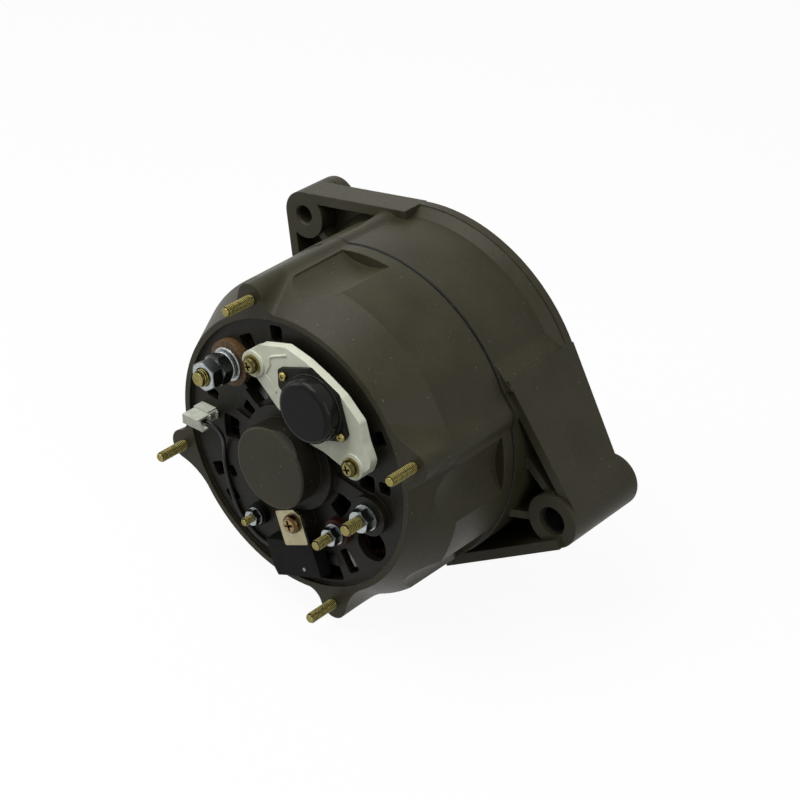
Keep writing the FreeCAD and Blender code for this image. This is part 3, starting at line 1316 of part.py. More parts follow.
def capacitor_tab():
    tab = prism(from_capacitor(TAB_OUTLINE), CAPACITOR_SEAT, -CAPACITOR_BOSS_TOP)
    tab = tab.makeFillet(TAB_ROUND, [edge for edge in tab.Edges if is_axial(edge)])
    return cut(tab, [rod(CAPACITOR_X, CAPACITOR_Z, CAPACITOR_SCREW_R + SCREW_CLEARANCE,
                         -BOSS_REACH, 0)])


def capacitor_box():
    outline = from_capacitor(CAPACITOR_OUTLINE)
    upper = prism(outline, -CAPACITOR_TOP, -PASS_CLEARANCE)
    lower = prism(outline, -2 * PASS_CLEARANCE, DISC_DEPTH)
    lower = lower.common(rod(0, 0, RIM_STEP_R - PASS_CLEARANCE, -CAPACITOR_TOP, DISC_DEPTH))
    pad = rod(CAPACITOR_X, CAPACITOR_Z, CAPACITOR_BOSS_R + PASS_CLEARANCE, -BOSS_REACH,
              WALL_INSIDE)
    return cut(fused([upper, lower]), [pad])


def capacitor_screw():
    return screw(CAPACITOR_X, CAPACITOR_Z, CAPACITOR_SCREW_R, CAPACITOR_HEAD_R, CAPACITOR_HEAD,
                 CAPACITOR_SEAT, WALL_INSIDE)


def lead_connector():
    end = DISC_DEPTH
    start = end - CONNECTOR_LENGTH
    shell = Part.makeBox(CONNECTOR_WIDTH, CONNECTOR_LENGTH, CONNECTOR_HEIGHT,
                         at(CONNECTOR_X, start, CONNECTOR_Z))
    face = CONNECTOR_X + CONNECTOR_WIDTH
    notches = [Part.makeBox(ENTRY_DEPTH + OVER, ENTRY_WIDTH, ENTRY_WIDTH,
                            at(face - ENTRY_DEPTH, station - ENTRY_WIDTH / 2,
                               ENTRY_Z - ENTRY_WIDTH / 2))
               for station in (ENTRY_STATION, ENTRY_STATION + ENTRY_PITCH)]
    return cut(shell, notches)


def lead_route():
    level = DISC_DEPTH - CABLE_R - LEAD_GAP
    face = CONNECTOR_X + CONNECTOR_WIDTH
    start = [at(face - LEAD_INSET, ENTRY_STATION, ENTRY_Z),
             at(face + LEAD_OUT, ENTRY_STATION, ENTRY_Z), at(*LEAD_DROP)]
    return start + [at(x, level, z) for x, z in LEAD_COURSE]


def capacitor_lead():
    return lead_tube(lead_route(), CABLE_R)


def lead_tube(route, radius):
    edges = []
    here = route[0]
    for before, corner, after in zip(route, route[1:], route[2:]):
        first = (corner - before).normalize()
        second = (after - corner).normalize()
        turn = first.getAngle(second)
        shorter = min((corner - before).Length, (after - corner).Length)
        setback = LEAD_BEND_SHARE * shorter
        bend = setback / math.tan(turn / 2)
        start = corner - first * setback
        end = corner + second * setback
        towards = (second - first).normalize()
        middle = corner + towards * (bend / math.cos(turn / 2) - bend)
        edges.append(Part.LineSegment(here, start).toShape())
        edges.append(Part.Arc(start, middle, end).toShape())
        print("lead bend radius %.1f" % bend)
        here = end
    edges.append(Part.LineSegment(here, route[-1]).toShape())
    path = Part.Wire(edges)
    circle = Part.makeCircle(radius, route[0], (route[1] - route[0]).normalize())
    cable = Part.Wire(circle)
    solid = path.makePipeShell([cable], True, False)
    print("lead volume %.1f, section times length %.1f"
          % (solid.Volume, math.pi * radius ** 2 * path.Length))
    return solid


def main():
    os.makedirs("parts", exist_ok=True)
    write("rear_bracket", [rear_bracket()])
    write("drive_end_bracket", [drive_bracket()])
    write("through_bolts", through_bolts())
    write("pivot_bush", [pivot_bush()])
    write("stator_core", [stator_core()])
    write("stator_winding", [stator_winding()])
    write("pole_half_rear", [pole_half_rear()])
    write("pole_half_front", [pole_half_front()])
    write("coil_bobbin", [coil_bobbin()])
    write("field_coil", [field_coil()])
    write("rotor_shaft", [rotor_shaft()])
    write("slip_rings", slip_rings())
    write("slip_ring_insulator", [slip_ring_insulator()])
    write("front_bearing_outer", [race(FRONT_BEARING, FRONT_BEARING_START, False)])
    write("front_bearing_inner", [race(FRONT_BEARING, FRONT_BEARING_START, True)])
    write("front_bearing_balls", ball_cage(FRONT_BEARING, FRONT_BEARING_START))
    write("rear_bearing_outer", [race(REAR_BEARING, REAR_BEARING_START, False)])
    write("rear_bearing_inner", [race(REAR_BEARING, REAR_BEARING_START, True)])
    write("rear_bearing_balls", ball_cage(REAR_BEARING, REAR_BEARING_START))
    write("rotor_spacer", [rotor_spacer()])
    write("fan_spacer", [fan_spacer()])
    write("pulley_spacer", [pulley_spacer()])
    write("cooling_fan", [cooling_fan()])
    write("bearing_retainer", [bearing_retainer()])
    write("retainer_screws", retainer_screws())
    write("brush_holder", [brush_holder()])
    write("holder_screws", holder_screws())
    write("holder_washers", holder_washers())
    for name, start in zip(("a", "b"), ring_starts()):
        write("brush_" + name, [brush(start)])
        write("brush_spring_" + name, [brush_spring(start)])
    write("regulator_plate", [regulator_plate()])
    write("regulator_cap", [regulator_cap()])
    write("regulator_screws", regulator_screws())
    write("battery_stud", [battery_stud()])
    write("battery_insulator", battery_insulator())
    write("battery_washers", battery_washers())
    write("battery_nuts", battery_nuts())
    write("ground_stud", [ground_stud()])
    write("ground_nut", ground_nut())
    write("phase_stud", [phase_stud()])
    write("phase_insulator", [phase_insulator()])
    write("phase_nut", phase_nut())
    write("lamp_stud", [lamp_stud()])
    write("lamp_insulator", [lamp_insulator()])
    write("lamp_nut", lamp_nut())
    write("rectifier_plate_negative", [rectifier_plate(
        NEGATIVE_PLATE, BATTERY_TUBE_R + PASS_CLEARANCE, PLATE_SCREW_R + SCREW_CLEARANCE,
        NEGATIVE_DIODE_ANGLES)])
    write("rectifier_plate_positive", [rectifier_plate(
        POSITIVE_PLATE, BATTERY_R + SCREW_CLEARANCE, PLATE_SCREW_R + PASS_CLEARANCE,
        POSITIVE_DIODE_ANGLES)])
    write("diodes", diodes())
    write("rectifier_spacers", rectifier_spacers())
    write("rectifier_screws", rectifier_screws())
    write("capacitor_tab", [capacitor_tab()])
    write("capacitor_box", [capacitor_box()])
    write("capacitor_screw", [capacitor_screw()])
    write("capacitor_lead", [capacitor_lead()])
    write("lead_connector", [lead_connector()])


main()
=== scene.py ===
import math

import bmesh
import bpy
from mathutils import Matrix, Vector


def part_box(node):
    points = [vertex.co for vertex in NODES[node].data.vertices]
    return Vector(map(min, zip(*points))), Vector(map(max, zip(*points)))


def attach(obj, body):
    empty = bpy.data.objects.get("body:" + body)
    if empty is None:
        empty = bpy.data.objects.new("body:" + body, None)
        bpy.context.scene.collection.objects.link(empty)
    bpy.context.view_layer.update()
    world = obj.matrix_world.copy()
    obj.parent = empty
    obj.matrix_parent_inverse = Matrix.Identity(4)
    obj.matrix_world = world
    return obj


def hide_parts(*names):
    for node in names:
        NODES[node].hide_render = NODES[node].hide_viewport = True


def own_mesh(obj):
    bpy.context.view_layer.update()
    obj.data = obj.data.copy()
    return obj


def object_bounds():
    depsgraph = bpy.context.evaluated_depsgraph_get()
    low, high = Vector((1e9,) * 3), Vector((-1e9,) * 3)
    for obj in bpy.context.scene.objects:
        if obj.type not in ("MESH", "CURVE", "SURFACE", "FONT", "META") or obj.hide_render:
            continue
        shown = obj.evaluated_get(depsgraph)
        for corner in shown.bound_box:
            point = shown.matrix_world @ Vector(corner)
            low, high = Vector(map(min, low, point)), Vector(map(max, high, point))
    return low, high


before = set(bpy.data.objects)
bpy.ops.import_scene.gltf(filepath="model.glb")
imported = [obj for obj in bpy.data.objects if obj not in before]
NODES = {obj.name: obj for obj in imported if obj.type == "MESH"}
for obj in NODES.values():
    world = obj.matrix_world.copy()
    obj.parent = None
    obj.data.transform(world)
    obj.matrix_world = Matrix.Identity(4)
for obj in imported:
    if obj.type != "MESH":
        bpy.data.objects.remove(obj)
cad_low, cad_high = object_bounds()

# Places are in the frame of the part's source: millimetres, x and z across the shaft and
# stations along it. Sizes with no other unit are millimetres too.
MM = 0.001
SHOULDER = 117.5  # the station at the row frame's origin

# Camera and lights
AZIMUTH = math.radians(40.67)
ELEVATION = math.radians(30.46)
TARGET = Vector((0.0201, -0.0675, 0.0139))
DISTANCE = 0.979
LENS = 97.47
SENSOR = 36.0
LIGHTS = [  # name, place, aim, size, power
    ("top_light", (-0.25, -0.35, 0.95), (0.02, -0.06, 0.0), (0.9, 0.7), 9.5),
    ("left_light", (-0.95, -0.75, 0.35), (0.0, -0.06, 0.0), (0.5, 0.8), 2.8),
    ("right_light", (1.1, -0.35, 0.45), (0.0, -0.06, 0.0), (0.5, 0.9), 3.5),
]
SOFT_LIGHT = 0.25  # what the white surroundings give, apart from being seen and mirrored
STAGE_HALF = 6.0
STAGE_GLOW = 0.94

# Marks on the paint: the joint between the brackets and the painted shade in the rear recess
SEAM = 59.0
SEAM_GAP = 0.75
RECESS_R = 65.0
RECESS_SOFT = 0.5
RECESS_SHADE = (-14.8, -12.5)

# Threads: depth per pitch, and the radius of a held stud per outer radius
THREAD_DEPTH = 0.6
ENGAGED = 0.9
COVER = 0.02  # how far the core stands out of the grooves' bottom

BOLT_CIRCLE_R = 74.0
BOLT_ANGLES = [17.83 + i * 90.0 for i in range(4)]
BOLT_R = 2.5
BOLT_PITCH = 0.8
BOLT_FLATS = 8.0
BOLT_HEAD = 4.0

STUDS = [  # piece, node, node of the nut, radius, pitch, flats and height of the head
    ("threaded_battery_stud", "battery_stud", "battery_nuts", 4.0, 1.25, 13.0, 4.0),
    ("threaded_ground_stud", "ground_stud", "ground_nut", 3.0, 1.0, 0.0, 0.0),
    ("threaded_phase_stud", "phase_stud", "phase_nut", 2.5, 0.8, 8.0, 2.0),
    ("threaded_lamp_stud", "lamp_stud", "lamp_nut", 2.0, 0.7, 7.0, 2.0),
]
CROSS_SCREWS = [  # piece, node, material, places, radius, radius and height of the head
    ("cross_holder_screws", "holder_screws", "screw_zinc", [(-16.13, 43.61), (41.32, 13.91)],
     2.0, 3.9, 2.6),
    ("cross_capacitor_screw", "capacitor_screw", "bronze_zinc", [(4.93, -31.11)], 2.5, 4.6, 3.2),
    ("cross_regulator_screws", "regulator_screws", "yellow_zinc",
     [(3.68, 45.32), (36.78, 27.92)], 1.2, 2.2, 1.6),
]
CROSS_TURNS = (20.0, 110.0)

NUT_FLATS = 13.0
NUT_BORE_R = 4.05
NUT_HEIGHT = 6.3
NUT_TURNS = (12.0, 34.0)
WASHER_BORE_R = 4.1
WASHER_R = 8.2
SPRING_WASHER_BORE_R = 4.15
SPRING_WASHER_R = 6.9

SHAFT_REAR_R = 7.5
SHAFT_R = 9.0
SEAT_R = 8.5
SEAT_LENGTH = 24.0
UNDERCUT_R = 8.1
UNDERCUT_WIDTH = 1.2
SHAFT_END_R = 8.0
SHAFT_PITCH = 1.5
SOCKET_FLATS = 8.0
SOCKET_DEPTH = 9.0

CAP = (21.98, 37.02)
CAP_R = 14.7
LIP_R = 15.7
LIP_HEIGHT = 1.2
PLATE_FACE = -8.0
HOLDER_FACE = -6.0
HOLDER_STEP = [(3.8, 54.8), (-5.2, 51.0), (-6.5, 49.6), (-6.2, 46.7), (-9.1, 41.0),
               (-6.9, 38.7), (-2.9, 34.1)]
STEP_HALF = 0.7
STEP_RISE = 0.45
EYELET = (10.0, -54.8)
CAPACITOR_FACE = -4.8

LUG_BOSS = (-76.06, 61.16)
LUG_BOSS_FACE = 113.0  # where the casting's boss ends
LUG_BOSS_EXTRA = 4.5
LUG_BOSS_R = 11.68
LUG_BORE_R = 4.5

BRUSH_ANGLE = math.radians(58.7)
SPRING_ENDS = (31.1, 41.0)  # distances from the shaft's axis
SPRING_R = 2.4
SPRING_WIRE_R = 0.35
SPRING_TURNS = 6
SPRING_DEAD_TURNS = 0.8
SPRING_STEPS = 28
WIRE_STEPS = 8

LEAD = [(-50.7, -5.4, 1.0), (-43.3, -5.4, 1.0), (-41.6, -2.2, -5.6), (-44.4, 0.9, -14.2),
        (-44.6, 0.9, -23.0), (-42.6, 0.9, -31.6), (-39.6, 0.9, -40.0), (-35.0, 0.9, -47.6),
        (-28.2, 0.9, -53.2), (-20.0, 0.9, -56.4), (-11.8, 0.9, -56.2)]
LEAD_R = 1.0

# Finishes: two colours that drift into each other, a range of roughness, the scales of the
# drift and of the grain, and where they differ from the usual the width of the softened edges
# and the depth of the grain. The side colour is painted light off the end faces: painted shade
# on the metals, a painted sheen on the glossy black. The root colour is painted shade in a
# thread's grooves.
# Side colours in this table are painted shade on faces turned off the shaft.
METALS = {
    # Root colours in this table are painted shade in thread grooves.
    "yellow_zinc": dict(first=(0.34, 0.27, 0.095), second=(0.20, 0.20, 0.07),
                        rough=(0.2, 0.36), scale=520.0, grain=2600.0,
                        painted_root_shade=(0.010, 0.0075, 0.003)),
    "bright_zinc": dict(first=(0.50, 0.52, 0.52), second=(0.34, 0.37, 0.38),
                        rough=(0.2, 0.36), scale=500.0, grain=3000.0,
                        painted_side_shading=(0.085, 0.095, 0.09)),
    "washer_zinc": dict(first=(0.46, 0.48, 0.47), second=(0.24, 0.26, 0.26),
                        rough=(0.2, 0.36), scale=700.0, grain=3000.0),
    "screw_zinc": dict(first=(0.31, 0.26, 0.11), second=(0.19, 0.175, 0.07),
                       rough=(0.2, 0.36), scale=620.0, grain=2600.0,
                       painted_side_shading=(0.075, 0.065, 0.027)),
    "bronze_zinc": dict(first=(0.38, 0.235, 0.115), second=(0.27, 0.20, 0.09),
                        rough=(0.2, 0.36), scale=620.0, grain=2600.0,
                        painted_side_shading=(0.10, 0.065, 0.03)),
    "cream_zinc": dict(first=(0.33, 0.30, 0.185), second=(0.42, 0.385, 0.26),
                       rough=(0.26, 0.42), scale=220.0, grain=2400.0),
    "ring_copper": dict(first=(0.55, 0.25, 0.13), second=(0.45, 0.19, 0.10),
                        rough=(0.2, 0.3), scale=120.0, grain=2400.0),
    "steel": dict(first=(0.34, 0.33, 0.32), second=(0.45, 0.44, 0.42), rough=(0.24, 0.42),
                  scale=200.0, grain=2500.0, painted_root_shade=(0.07, 0.066, 0.06)),
    # Near-black steel for the pivot bush: painted shade, so it looks like a shadowed hole
    "shadow_dark_steel": dict(first=(0.025, 0.024, 0.022), second=(0.045, 0.042, 0.038),
                       rough=(0.4, 0.6), scale=200.0, grain=1800.0),
    "pole_steel": dict(first=(0.08, 0.075, 0.07), second=(0.15, 0.14, 0.13),
                       rough=(0.4, 0.6), scale=180.0, grain=1500.0),
    "bare_aluminium": dict(first=(0.30, 0.29, 0.28), second=(0.40, 0.39, 0.37),
                           rough=(0.34, 0.5), scale=150.0, grain=1400.0),
}
MOULDINGS = {
    "black_plastic": dict(first=(0.004, 0.004, 0.004), second=(0.007, 0.007, 0.0065),
                          rough=(0.4, 0.55), gloss=0.06),
    "white_plastic": dict(first=(0.66, 0.68, 0.54), second=(0.73, 0.75, 0.61),
                          rough=(0.34, 0.46), scale=220.0, grain=1500.0, edge=0.0005,
                          relief=0.00004),
    "connector_plastic": dict(first=(0.42, 0.44, 0.36), second=(0.52, 0.54, 0.46),
                              rough=(0.3, 0.42), scale=300.0, grain=1500.0, relief=0.00004),
    # The glossy black's side colour is a painted sheen on its sides
    "gloss_black": dict(first=(0.0035, 0.0035, 0.0035), second=(0.006, 0.006, 0.0055),
                        rough=(0.09, 0.15), scale=300.0, grain=900.0, edge=0.0004,
                        relief=0.000012, gloss=0.1, painted_side_shading=(0.013, 0.013, 0.0115)),
    "black_metal": dict(first=(0.006, 0.0065, 0.005), second=(0.011, 0.011, 0.009),
                        rough=(0.36, 0.5), scale=200.0, grain=2200.0, edge=0.0004,
                        relief=0.00003, gloss=0.1),
    "brown_insulator": dict(first=(0.045, 0.024, 0.008), second=(0.15, 0.078, 0.028),
                            rough=(0.4, 0.65), scale=700.0, grain=2400.0, relief=0.0002),
    "red_insulator": dict(first=(0.022, 0.006, 0.004), second=(0.045, 0.011, 0.008),
                          rough=(0.4, 0.55), gloss=0.15),
    "cable_black": dict(first=(0.005, 0.005, 0.005), second=(0.010, 0.010, 0.010),
                        rough=(0.3, 0.45), scale=500.0, grain=3000.0, edge=0.0002,
                        relief=0.00004),
    "carbon": dict(first=(0.03, 0.03, 0.033), second=(0.055, 0.055, 0.06), rough=(0.5, 0.7)),
}


def row(point):
    """A place of the part's source in the row frame, in metres."""
    return Vector((point[0], point[1] - SHOULDER, point[2])) * MM


def stations(node):
    low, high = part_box(node)
    return low[1] / MM + SHOULDER, high[1] / MM + SHOULDER


def axis_of(node):
    low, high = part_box(node)
    return (low[0] + high[0]) / 2 / MM, (low[2] + high[2]) / 2 / MM


def link(name, data):
    made = bpy.data.objects.new(name, data)
    bpy.context.scene.collection.objects.link(made)
    return made


# Camera and lights
def make_camera():
    back = Vector((math.sin(AZIMUTH) * math.cos(ELEVATION),
                   -math.cos(AZIMUTH) * math.cos(ELEVATION), math.sin(ELEVATION)))
    data = bpy.data.cameras.new("camera")
    data.lens = LENS
    data.sensor_width = SENSOR
    data.clip_start = 0.05
    data.clip_end = 20.0
    camera = link("camera", data)
    camera.location = TARGET + back * DISTANCE
    camera.rotation_mode = "QUATERNION"
    camera.rotation_quaternion = (-back).to_track_quat("-Z", "Y")
    bpy.context.scene.camera = camera


def area_light(name, place, aim, size, power):
    data = bpy.data.lights.new(name, "AREA")
    data.shape = "RECTANGLE"
    data.size, data.size_y = size
    data.energy = power
    lamp = link(name, data)
    lamp.location = place
    lamp.rotation_mode = "QUATERNION"
    lamp.rotation_quaternion = (Vector(aim) - Vector(place)).to_track_quat("-Z", "Y")


# Shader nodes
def add(tree, kind, **values):
    made = tree.nodes.new(kind)
    for key, value in values.items():
        setattr(made, key, value)
    return made


def plug(tree, source, socket):
    if isinstance(source, (int, float, tuple)):
        socket.default_value = source
    else:
        tree.links.new(source, socket)


def calc(tree, kind, a, b=0.0):
    made = add(tree, "ShaderNodeMath", operation=kind)
    plug(tree, a, made.inputs[0])
    plug(tree, b, made.inputs[1])
    return made.outputs[0]


def span(tree, value, low, high, to_low=0.0, to_high=1.0):
    made = add(tree, "ShaderNodeMapRange")
    made.inputs["From Min"].default_value = low
    made.inputs["From Max"].default_value = high
    made.inputs["To Min"].default_value = to_low
    made.inputs["To Max"].default_value = to_high
    tree.links.new(value, made.inputs["Value"])
    return made.outputs["Result"]


def blend(tree, factor, a, b, kind="MIX"):
    made = add(tree, "ShaderNodeMix", data_type="RGBA", blend_type=kind)
    plug(tree, factor, made.inputs[0])
    plug(tree, a if not isinstance(a, tuple) else a + (1.0,), made.inputs[6])
    plug(tree, b if not isinstance(b, tuple) else b + (1.0,), made.inputs[7])
    return made.outputs[2]


def parts_of(tree, vector):
    made = add(tree, "ShaderNodeSeparateXYZ")
    tree.links.new(vector, made.inputs[0])
    return made.outputs


def noise(tree, coords, scale, detail=4.0, rough=0.55, distortion=0.0):
    made = add(tree, "ShaderNodeTexNoise")
    made.inputs["Scale"].default_value = scale
    made.inputs["Detail"].default_value = detail
    made.inputs["Roughness"].default_value = rough
    made.inputs["Distortion"].default_value = distortion
    tree.links.new(coords, made.inputs["Vector"])
    return made.outputs["Fac"]


def stretched(tree, coords, scale, turn=(0.0, 0.0, 0.0)):
    made = add(tree, "ShaderNodeMapping")
    made.inputs["Scale"].default_value = scale
    made.inputs["Rotation"].default_value = turn
    tree.links.new(coords, made.inputs["Vector"])
    return made.outputs["Vector"]


def bump(tree, height, distance, normal=None, strength=1.0):
    made = add(tree, "ShaderNodeBump")
    made.inputs["Distance"].default_value = distance
    made.inputs["Strength"].default_value = strength
    tree.links.new(height, made.inputs["Height"])
    if normal is not None:
        tree.links.new(normal, made.inputs["Normal"])
    return made.outputs["Normal"]


def soft_edges(tree, radius):
    made = add(tree, "ShaderNodeBevel", samples=4)
    made.inputs["Radius"].default_value = radius
    return made.outputs["Normal"]


def directly_seen(tree):
    """1 for rays that show a surface as itself, in a mirror or through glass, 0 for soft light."""
    paths = add(tree, "ShaderNodeLightPath")
    shown = calc(tree, "MAXIMUM", paths.outputs["Is Camera Ray"], paths.outputs["Is Glossy Ray"])
    return calc(tree, "MAXIMUM", shown, paths.outputs["Is Transmission Ray"])


# Masks
def edge_mask(tree, softened, low, high):
    geometry = add(tree, "ShaderNodeNewGeometry")
    dot = add(tree, "ShaderNodeVectorMath", operation="DOT_PRODUCT")
    tree.links.new(softened, dot.inputs[0])
    tree.links.new(geometry.outputs["Normal"], dot.inputs[1])
    return span(tree, dot.outputs["Value"], high, low)


def side_mask(tree, facing_from, facing_to):
    """1 on faces turned off the shaft's direction, 0 on those that face along it."""
    geometry = add(tree, "ShaderNodeNewGeometry")
    along = parts_of(tree, geometry.outputs["Normal"])[1]
    return span(tree, calc(tree, "MULTIPLY", along, along), facing_to, facing_from)


# Painted shade: 1 inside the rear recess's radius, on its floor and on faces turned off the shaft
def painted_recess_shade_mask(tree, coords):
    x, y, z = parts_of(tree, coords)
    radius = calc(tree, "SQRT", calc(tree, "ADD", calc(tree, "MULTIPLY", x, x),
                                     calc(tree, "MULTIPLY", z, z)))
    inside = span(tree, radius, (RECESS_R + RECESS_SOFT) * MM, (RECESS_R - RECESS_SOFT) * MM)
    under = span(tree, y, *((station - SHOULDER) * MM for station in RECESS_SHADE))
    return calc(tree, "MULTIPLY", inside,
                calc(tree, "MAXIMUM", under, side_mask(tree, 0.1, 0.5)))


def joint_mask(tree, coords):
    y = parts_of(tree, coords)[1]
    away = calc(tree, "ABSOLUTE", calc(tree, "SUBTRACT", y, (SEAM - SHOULDER) * MM))
    return span(tree, away, SEAM_GAP * MM * 1.3, SEAM_GAP * MM * 0.7)


# Materials
def start(name, **values):
    made = bpy.data.materials.new("scene_" + name)
    made.use_nodes = True
    tree = made.node_tree
    shader = tree.nodes["Principled BSDF"]
    for key, value in values.items():
        shader.inputs[key.replace("_", " ")].default_value = value
    coords = add(tree, "ShaderNodeTexCoord").outputs["Object"]
    return made, tree, shader, coords


def cast_paint():
    made, tree, shader, coords = start("casting_paint", Metallic=0.0, Specular_IOR_Level=0.16)
    broad = noise(tree, coords, 38.0, 3.0)
    fine = noise(tree, coords, 620.0, 5.0, 0.6)
    grain = noise(tree, coords, 1900.0, 2.0)
    base = blend(tree, span(tree, broad, 0.35, 0.65), (0.0265, 0.0235, 0.0115),
                 (0.038, 0.0345, 0.0185))
    dusty = blend(tree, span(tree, fine, 0.5, 0.8, 0.0, 0.3), base, (0.055, 0.050, 0.036))
    # Painted shade: the rear recess darkened almost to black
    shaded = blend(tree, calc(tree, "MULTIPLY", painted_recess_shade_mask(tree, coords), 0.85), dusty,
                   (0.0045, 0.004, 0.0025))
    jointed = blend(tree, calc(tree, "MULTIPLY", joint_mask(tree, coords), 0.9), shaded,
                    (0.002, 0.002, 0.0015))
    softened = soft_edges(tree, 0.0007)
    # Lighter rims: paint worn off the edges, and in part a painted highlight along them
    worn_and_highlit = calc(tree, "MULTIPLY", edge_mask(tree, softened, 0.80, 0.985),
                span(tree, noise(tree, coords, 240.0, 5.0), 0.45, 0.65))
    worn_and_highlit_paint = blend(tree, calc(tree, "MULTIPLY", worn_and_highlit, 0.55), jointed, (0.105, 0.10, 0.08))
    specks = span(tree, noise(tree, coords, 780.0, 2.0, 0.5), 0.745, 0.77)
    streaks = noise(tree, stretched(tree, coords, (160.0, 1500.0, 1500.0), (0.4, 0.2, 0.9)), 1.0,
                    3.0)
    marks = calc(tree, "MAXIMUM", specks, span(tree, streaks, 0.755, 0.775))
    colour = blend(tree, calc(tree, "MULTIPLY", marks, 0.5), worn_and_highlit_paint, (0.36, 0.34, 0.29))
    plug(tree, colour, shader.inputs["Base Color"])
    rough = calc(tree, "ADD", span(tree, fine, 0.3, 0.7, 0.38, 0.5),
                 span(tree, broad, 0.3, 0.7, -0.03, 0.05))
    plug(tree, rough, shader.inputs["Roughness"])
    height = calc(tree, "ADD", fine, calc(tree, "MULTIPLY", grain, 0.35))
    plug(tree, bump(tree, height, 0.00016, softened, 0.7), shader.inputs["Normal"])
    return made


def metal(name, first, second, rough, scale, grain, edge=0.0002, relief=0.00002, painted_side_shading=None,
          painted_root_shade=None):
    made, tree, shader, coords = start(name, Metallic=1.0)
    broad = noise(tree, coords, scale, 4.0, 0.6, 0.6)
    fine = noise(tree, coords, grain)
    colour = blend(tree, span(tree, broad, 0.35, 0.65), first, second)
    # Painted shade: faces turned off the shaft take the side colour
    if painted_side_shading is not None:
        colour = blend(tree, side_mask(tree, 0.82, 0.9), colour, painted_side_shading)
    # Painted shade in the thread's grooves
    if painted_root_shade is not None:
        groove = add(tree, "ShaderNodeAttribute", attribute_name="groove").outputs["Fac"]
        colour = blend(tree, span(tree, groove, 0.05, 0.5), colour, painted_root_shade)
    plug(tree, blend(tree, span(tree, fine, 0.3, 0.7, 0.0, 0.35), colour, first, "MULTIPLY"),
         shader.inputs["Base Color"])
    plug(tree, span(tree, fine, 0.3, 0.7, *rough), shader.inputs["Roughness"])
    plug(tree, bump(tree, fine, relief, soft_edges(tree, edge)), shader.inputs["Normal"])
    return made


def moulded(name, first, second, rough, scale=160.0, grain=1400.0, edge=0.0003, relief=0.00005,
            gloss=0.3, painted_side_shading=None):
    made, tree, shader, coords = start(name, Metallic=0.0, Specular_IOR_Level=gloss)
    broad = noise(tree, coords, scale, 4.0, 0.6)
    fine = noise(tree, coords, grain, 4.0, 0.6)
    colour = blend(tree, span(tree, broad, 0.35, 0.65), first, second)
    # Faces turned off the shaft take the side colour: on the glossy black a painted sheen
    if painted_side_shading is not None:
        colour = blend(tree, side_mask(tree, 0.55, 0.9), colour, painted_side_shading)
    plug(tree, colour, shader.inputs["Base Color"])
    plug(tree, span(tree, fine, 0.3, 0.7, *rough), shader.inputs["Roughness"])
    plug(tree, bump(tree, fine, relief, soft_edges(tree, edge)), shader.inputs["Normal"])
    return made


def laminations():
    made, tree, shader, coords = start("lamination", Metallic=0.8)
    layers = noise(tree, stretched(tree, coords, (3.0, 2000.0, 3.0)), 1.0, 1.0)
    plug(tree, blend(tree, span(tree, layers, 0.4, 0.6), (0.13, 0.125, 0.12),
                     (0.3, 0.29, 0.28)), shader.inputs["Base Color"])
    plug(tree, span(tree, layers, 0.3, 0.7, 0.3, 0.5), shader.inputs["Roughness"])
    plug(tree, bump(tree, layers, 0.0002), shader.inputs["Normal"])
    return made


def winding():
    made, tree, shader, coords = start("copper", Metallic=0.85, Coat_Weight=0.5,
                                       Coat_Roughness=0.15)
    turns = noise(tree, stretched(tree, coords, (900.0, 240.0, 900.0)), 1.0, 2.0)
    plug(tree, blend(tree, span(tree, turns, 0.35, 0.65), (0.16, 0.045, 0.02),
                     (0.42, 0.15, 0.06)), shader.inputs["Base Color"])
    plug(tree, span(tree, turns, 0.3, 0.7, 0.25, 0.45), shader.inputs["Roughness"])
    plug(tree, bump(tree, turns, 0.0005), shader.inputs["Normal"])
    return made


def make_materials():
    made = {"casting_paint": cast_paint(), "lamination": laminations(), "copper": winding()}
    made.update({name: metal(name, **values) for name, values in METALS.items()})
    made.update({name: moulded(name, **values) for name, values in MOULDINGS.items()})
    return made


def dress():
    for obj in NODES.values():
        for place in obj.material_slots:
            name = place.material.name.split(".")[0]
            place.material = MATERIALS[name]
    # The pivot bush gets near-black steel as painted shade in its bore
    NODES["pivot_bush"].material_slots[0].material = MATERIALS["shadow_dark_steel"]
    NODES["slip_rings"].material_slots[0].material = MATERIALS["ring_copper"]


# Building blocks
def corner(shape, x, z, radius, angle, station):
    return shape.verts.new(row((x + radius * math.cos(angle), station,
                                z + radius * math.sin(angle))))


def ring(shape, x, z, radius, station, count, turn=0.0):
    if radius < 1e-6:
        return [shape.verts.new(row((x, station, z)))]
    return [corner(shape, x, z, radius, turn + 2 * math.pi * i / count, station)
            for i in range(count)]


def bridge(shape, first, second):
    """Joins two rings corner by corner; either may be a single point."""
    if len(first) == 1:
        first = first * len(second)
    if len(second) == 1:
        second = second * len(first)
    for i in range(len(first)):
        j = (i + 1) % len(first)
        corners = []
        for place in (first[i], first[j], second[j], second[i]):
            if place not in corners:
                corners.append(place)
        shape.faces.new(corners)


def loft(shape, sections):
    for before, after in zip(sections, sections[1:]):
        bridge(shape, before, after)
    shape.faces.new(sections[0])
    shape.faces.new(sections[-1])


def lathe(shape, x, z, profile, count=40, closed=False, turn=0.0):
    """A turned form from (radius, station) pairs; closed when the profile goes round a bore."""
    rings = [ring(shape, x, z, radius, station, count, turn) for radius, station in profile]
    for first, second in zip(rings, rings[1:]):
        bridge(shape, first, second)
    if closed:
        bridge(shape, rings[-1], rings[0])


def prism(shape, outline, first, last):
    bottom = [shape.verts.new(row((x, first, z))) for x, z in outline]
    top = [shape.verts.new(row((x, last, z))) for x, z in outline]
    shape.faces.new(bottom)
    shape.faces.new(top)
    bridge(shape, bottom, top)


def rectangle(left, low, right, high):
    return [(left, low), (right, low), (right, high), (left, high)]


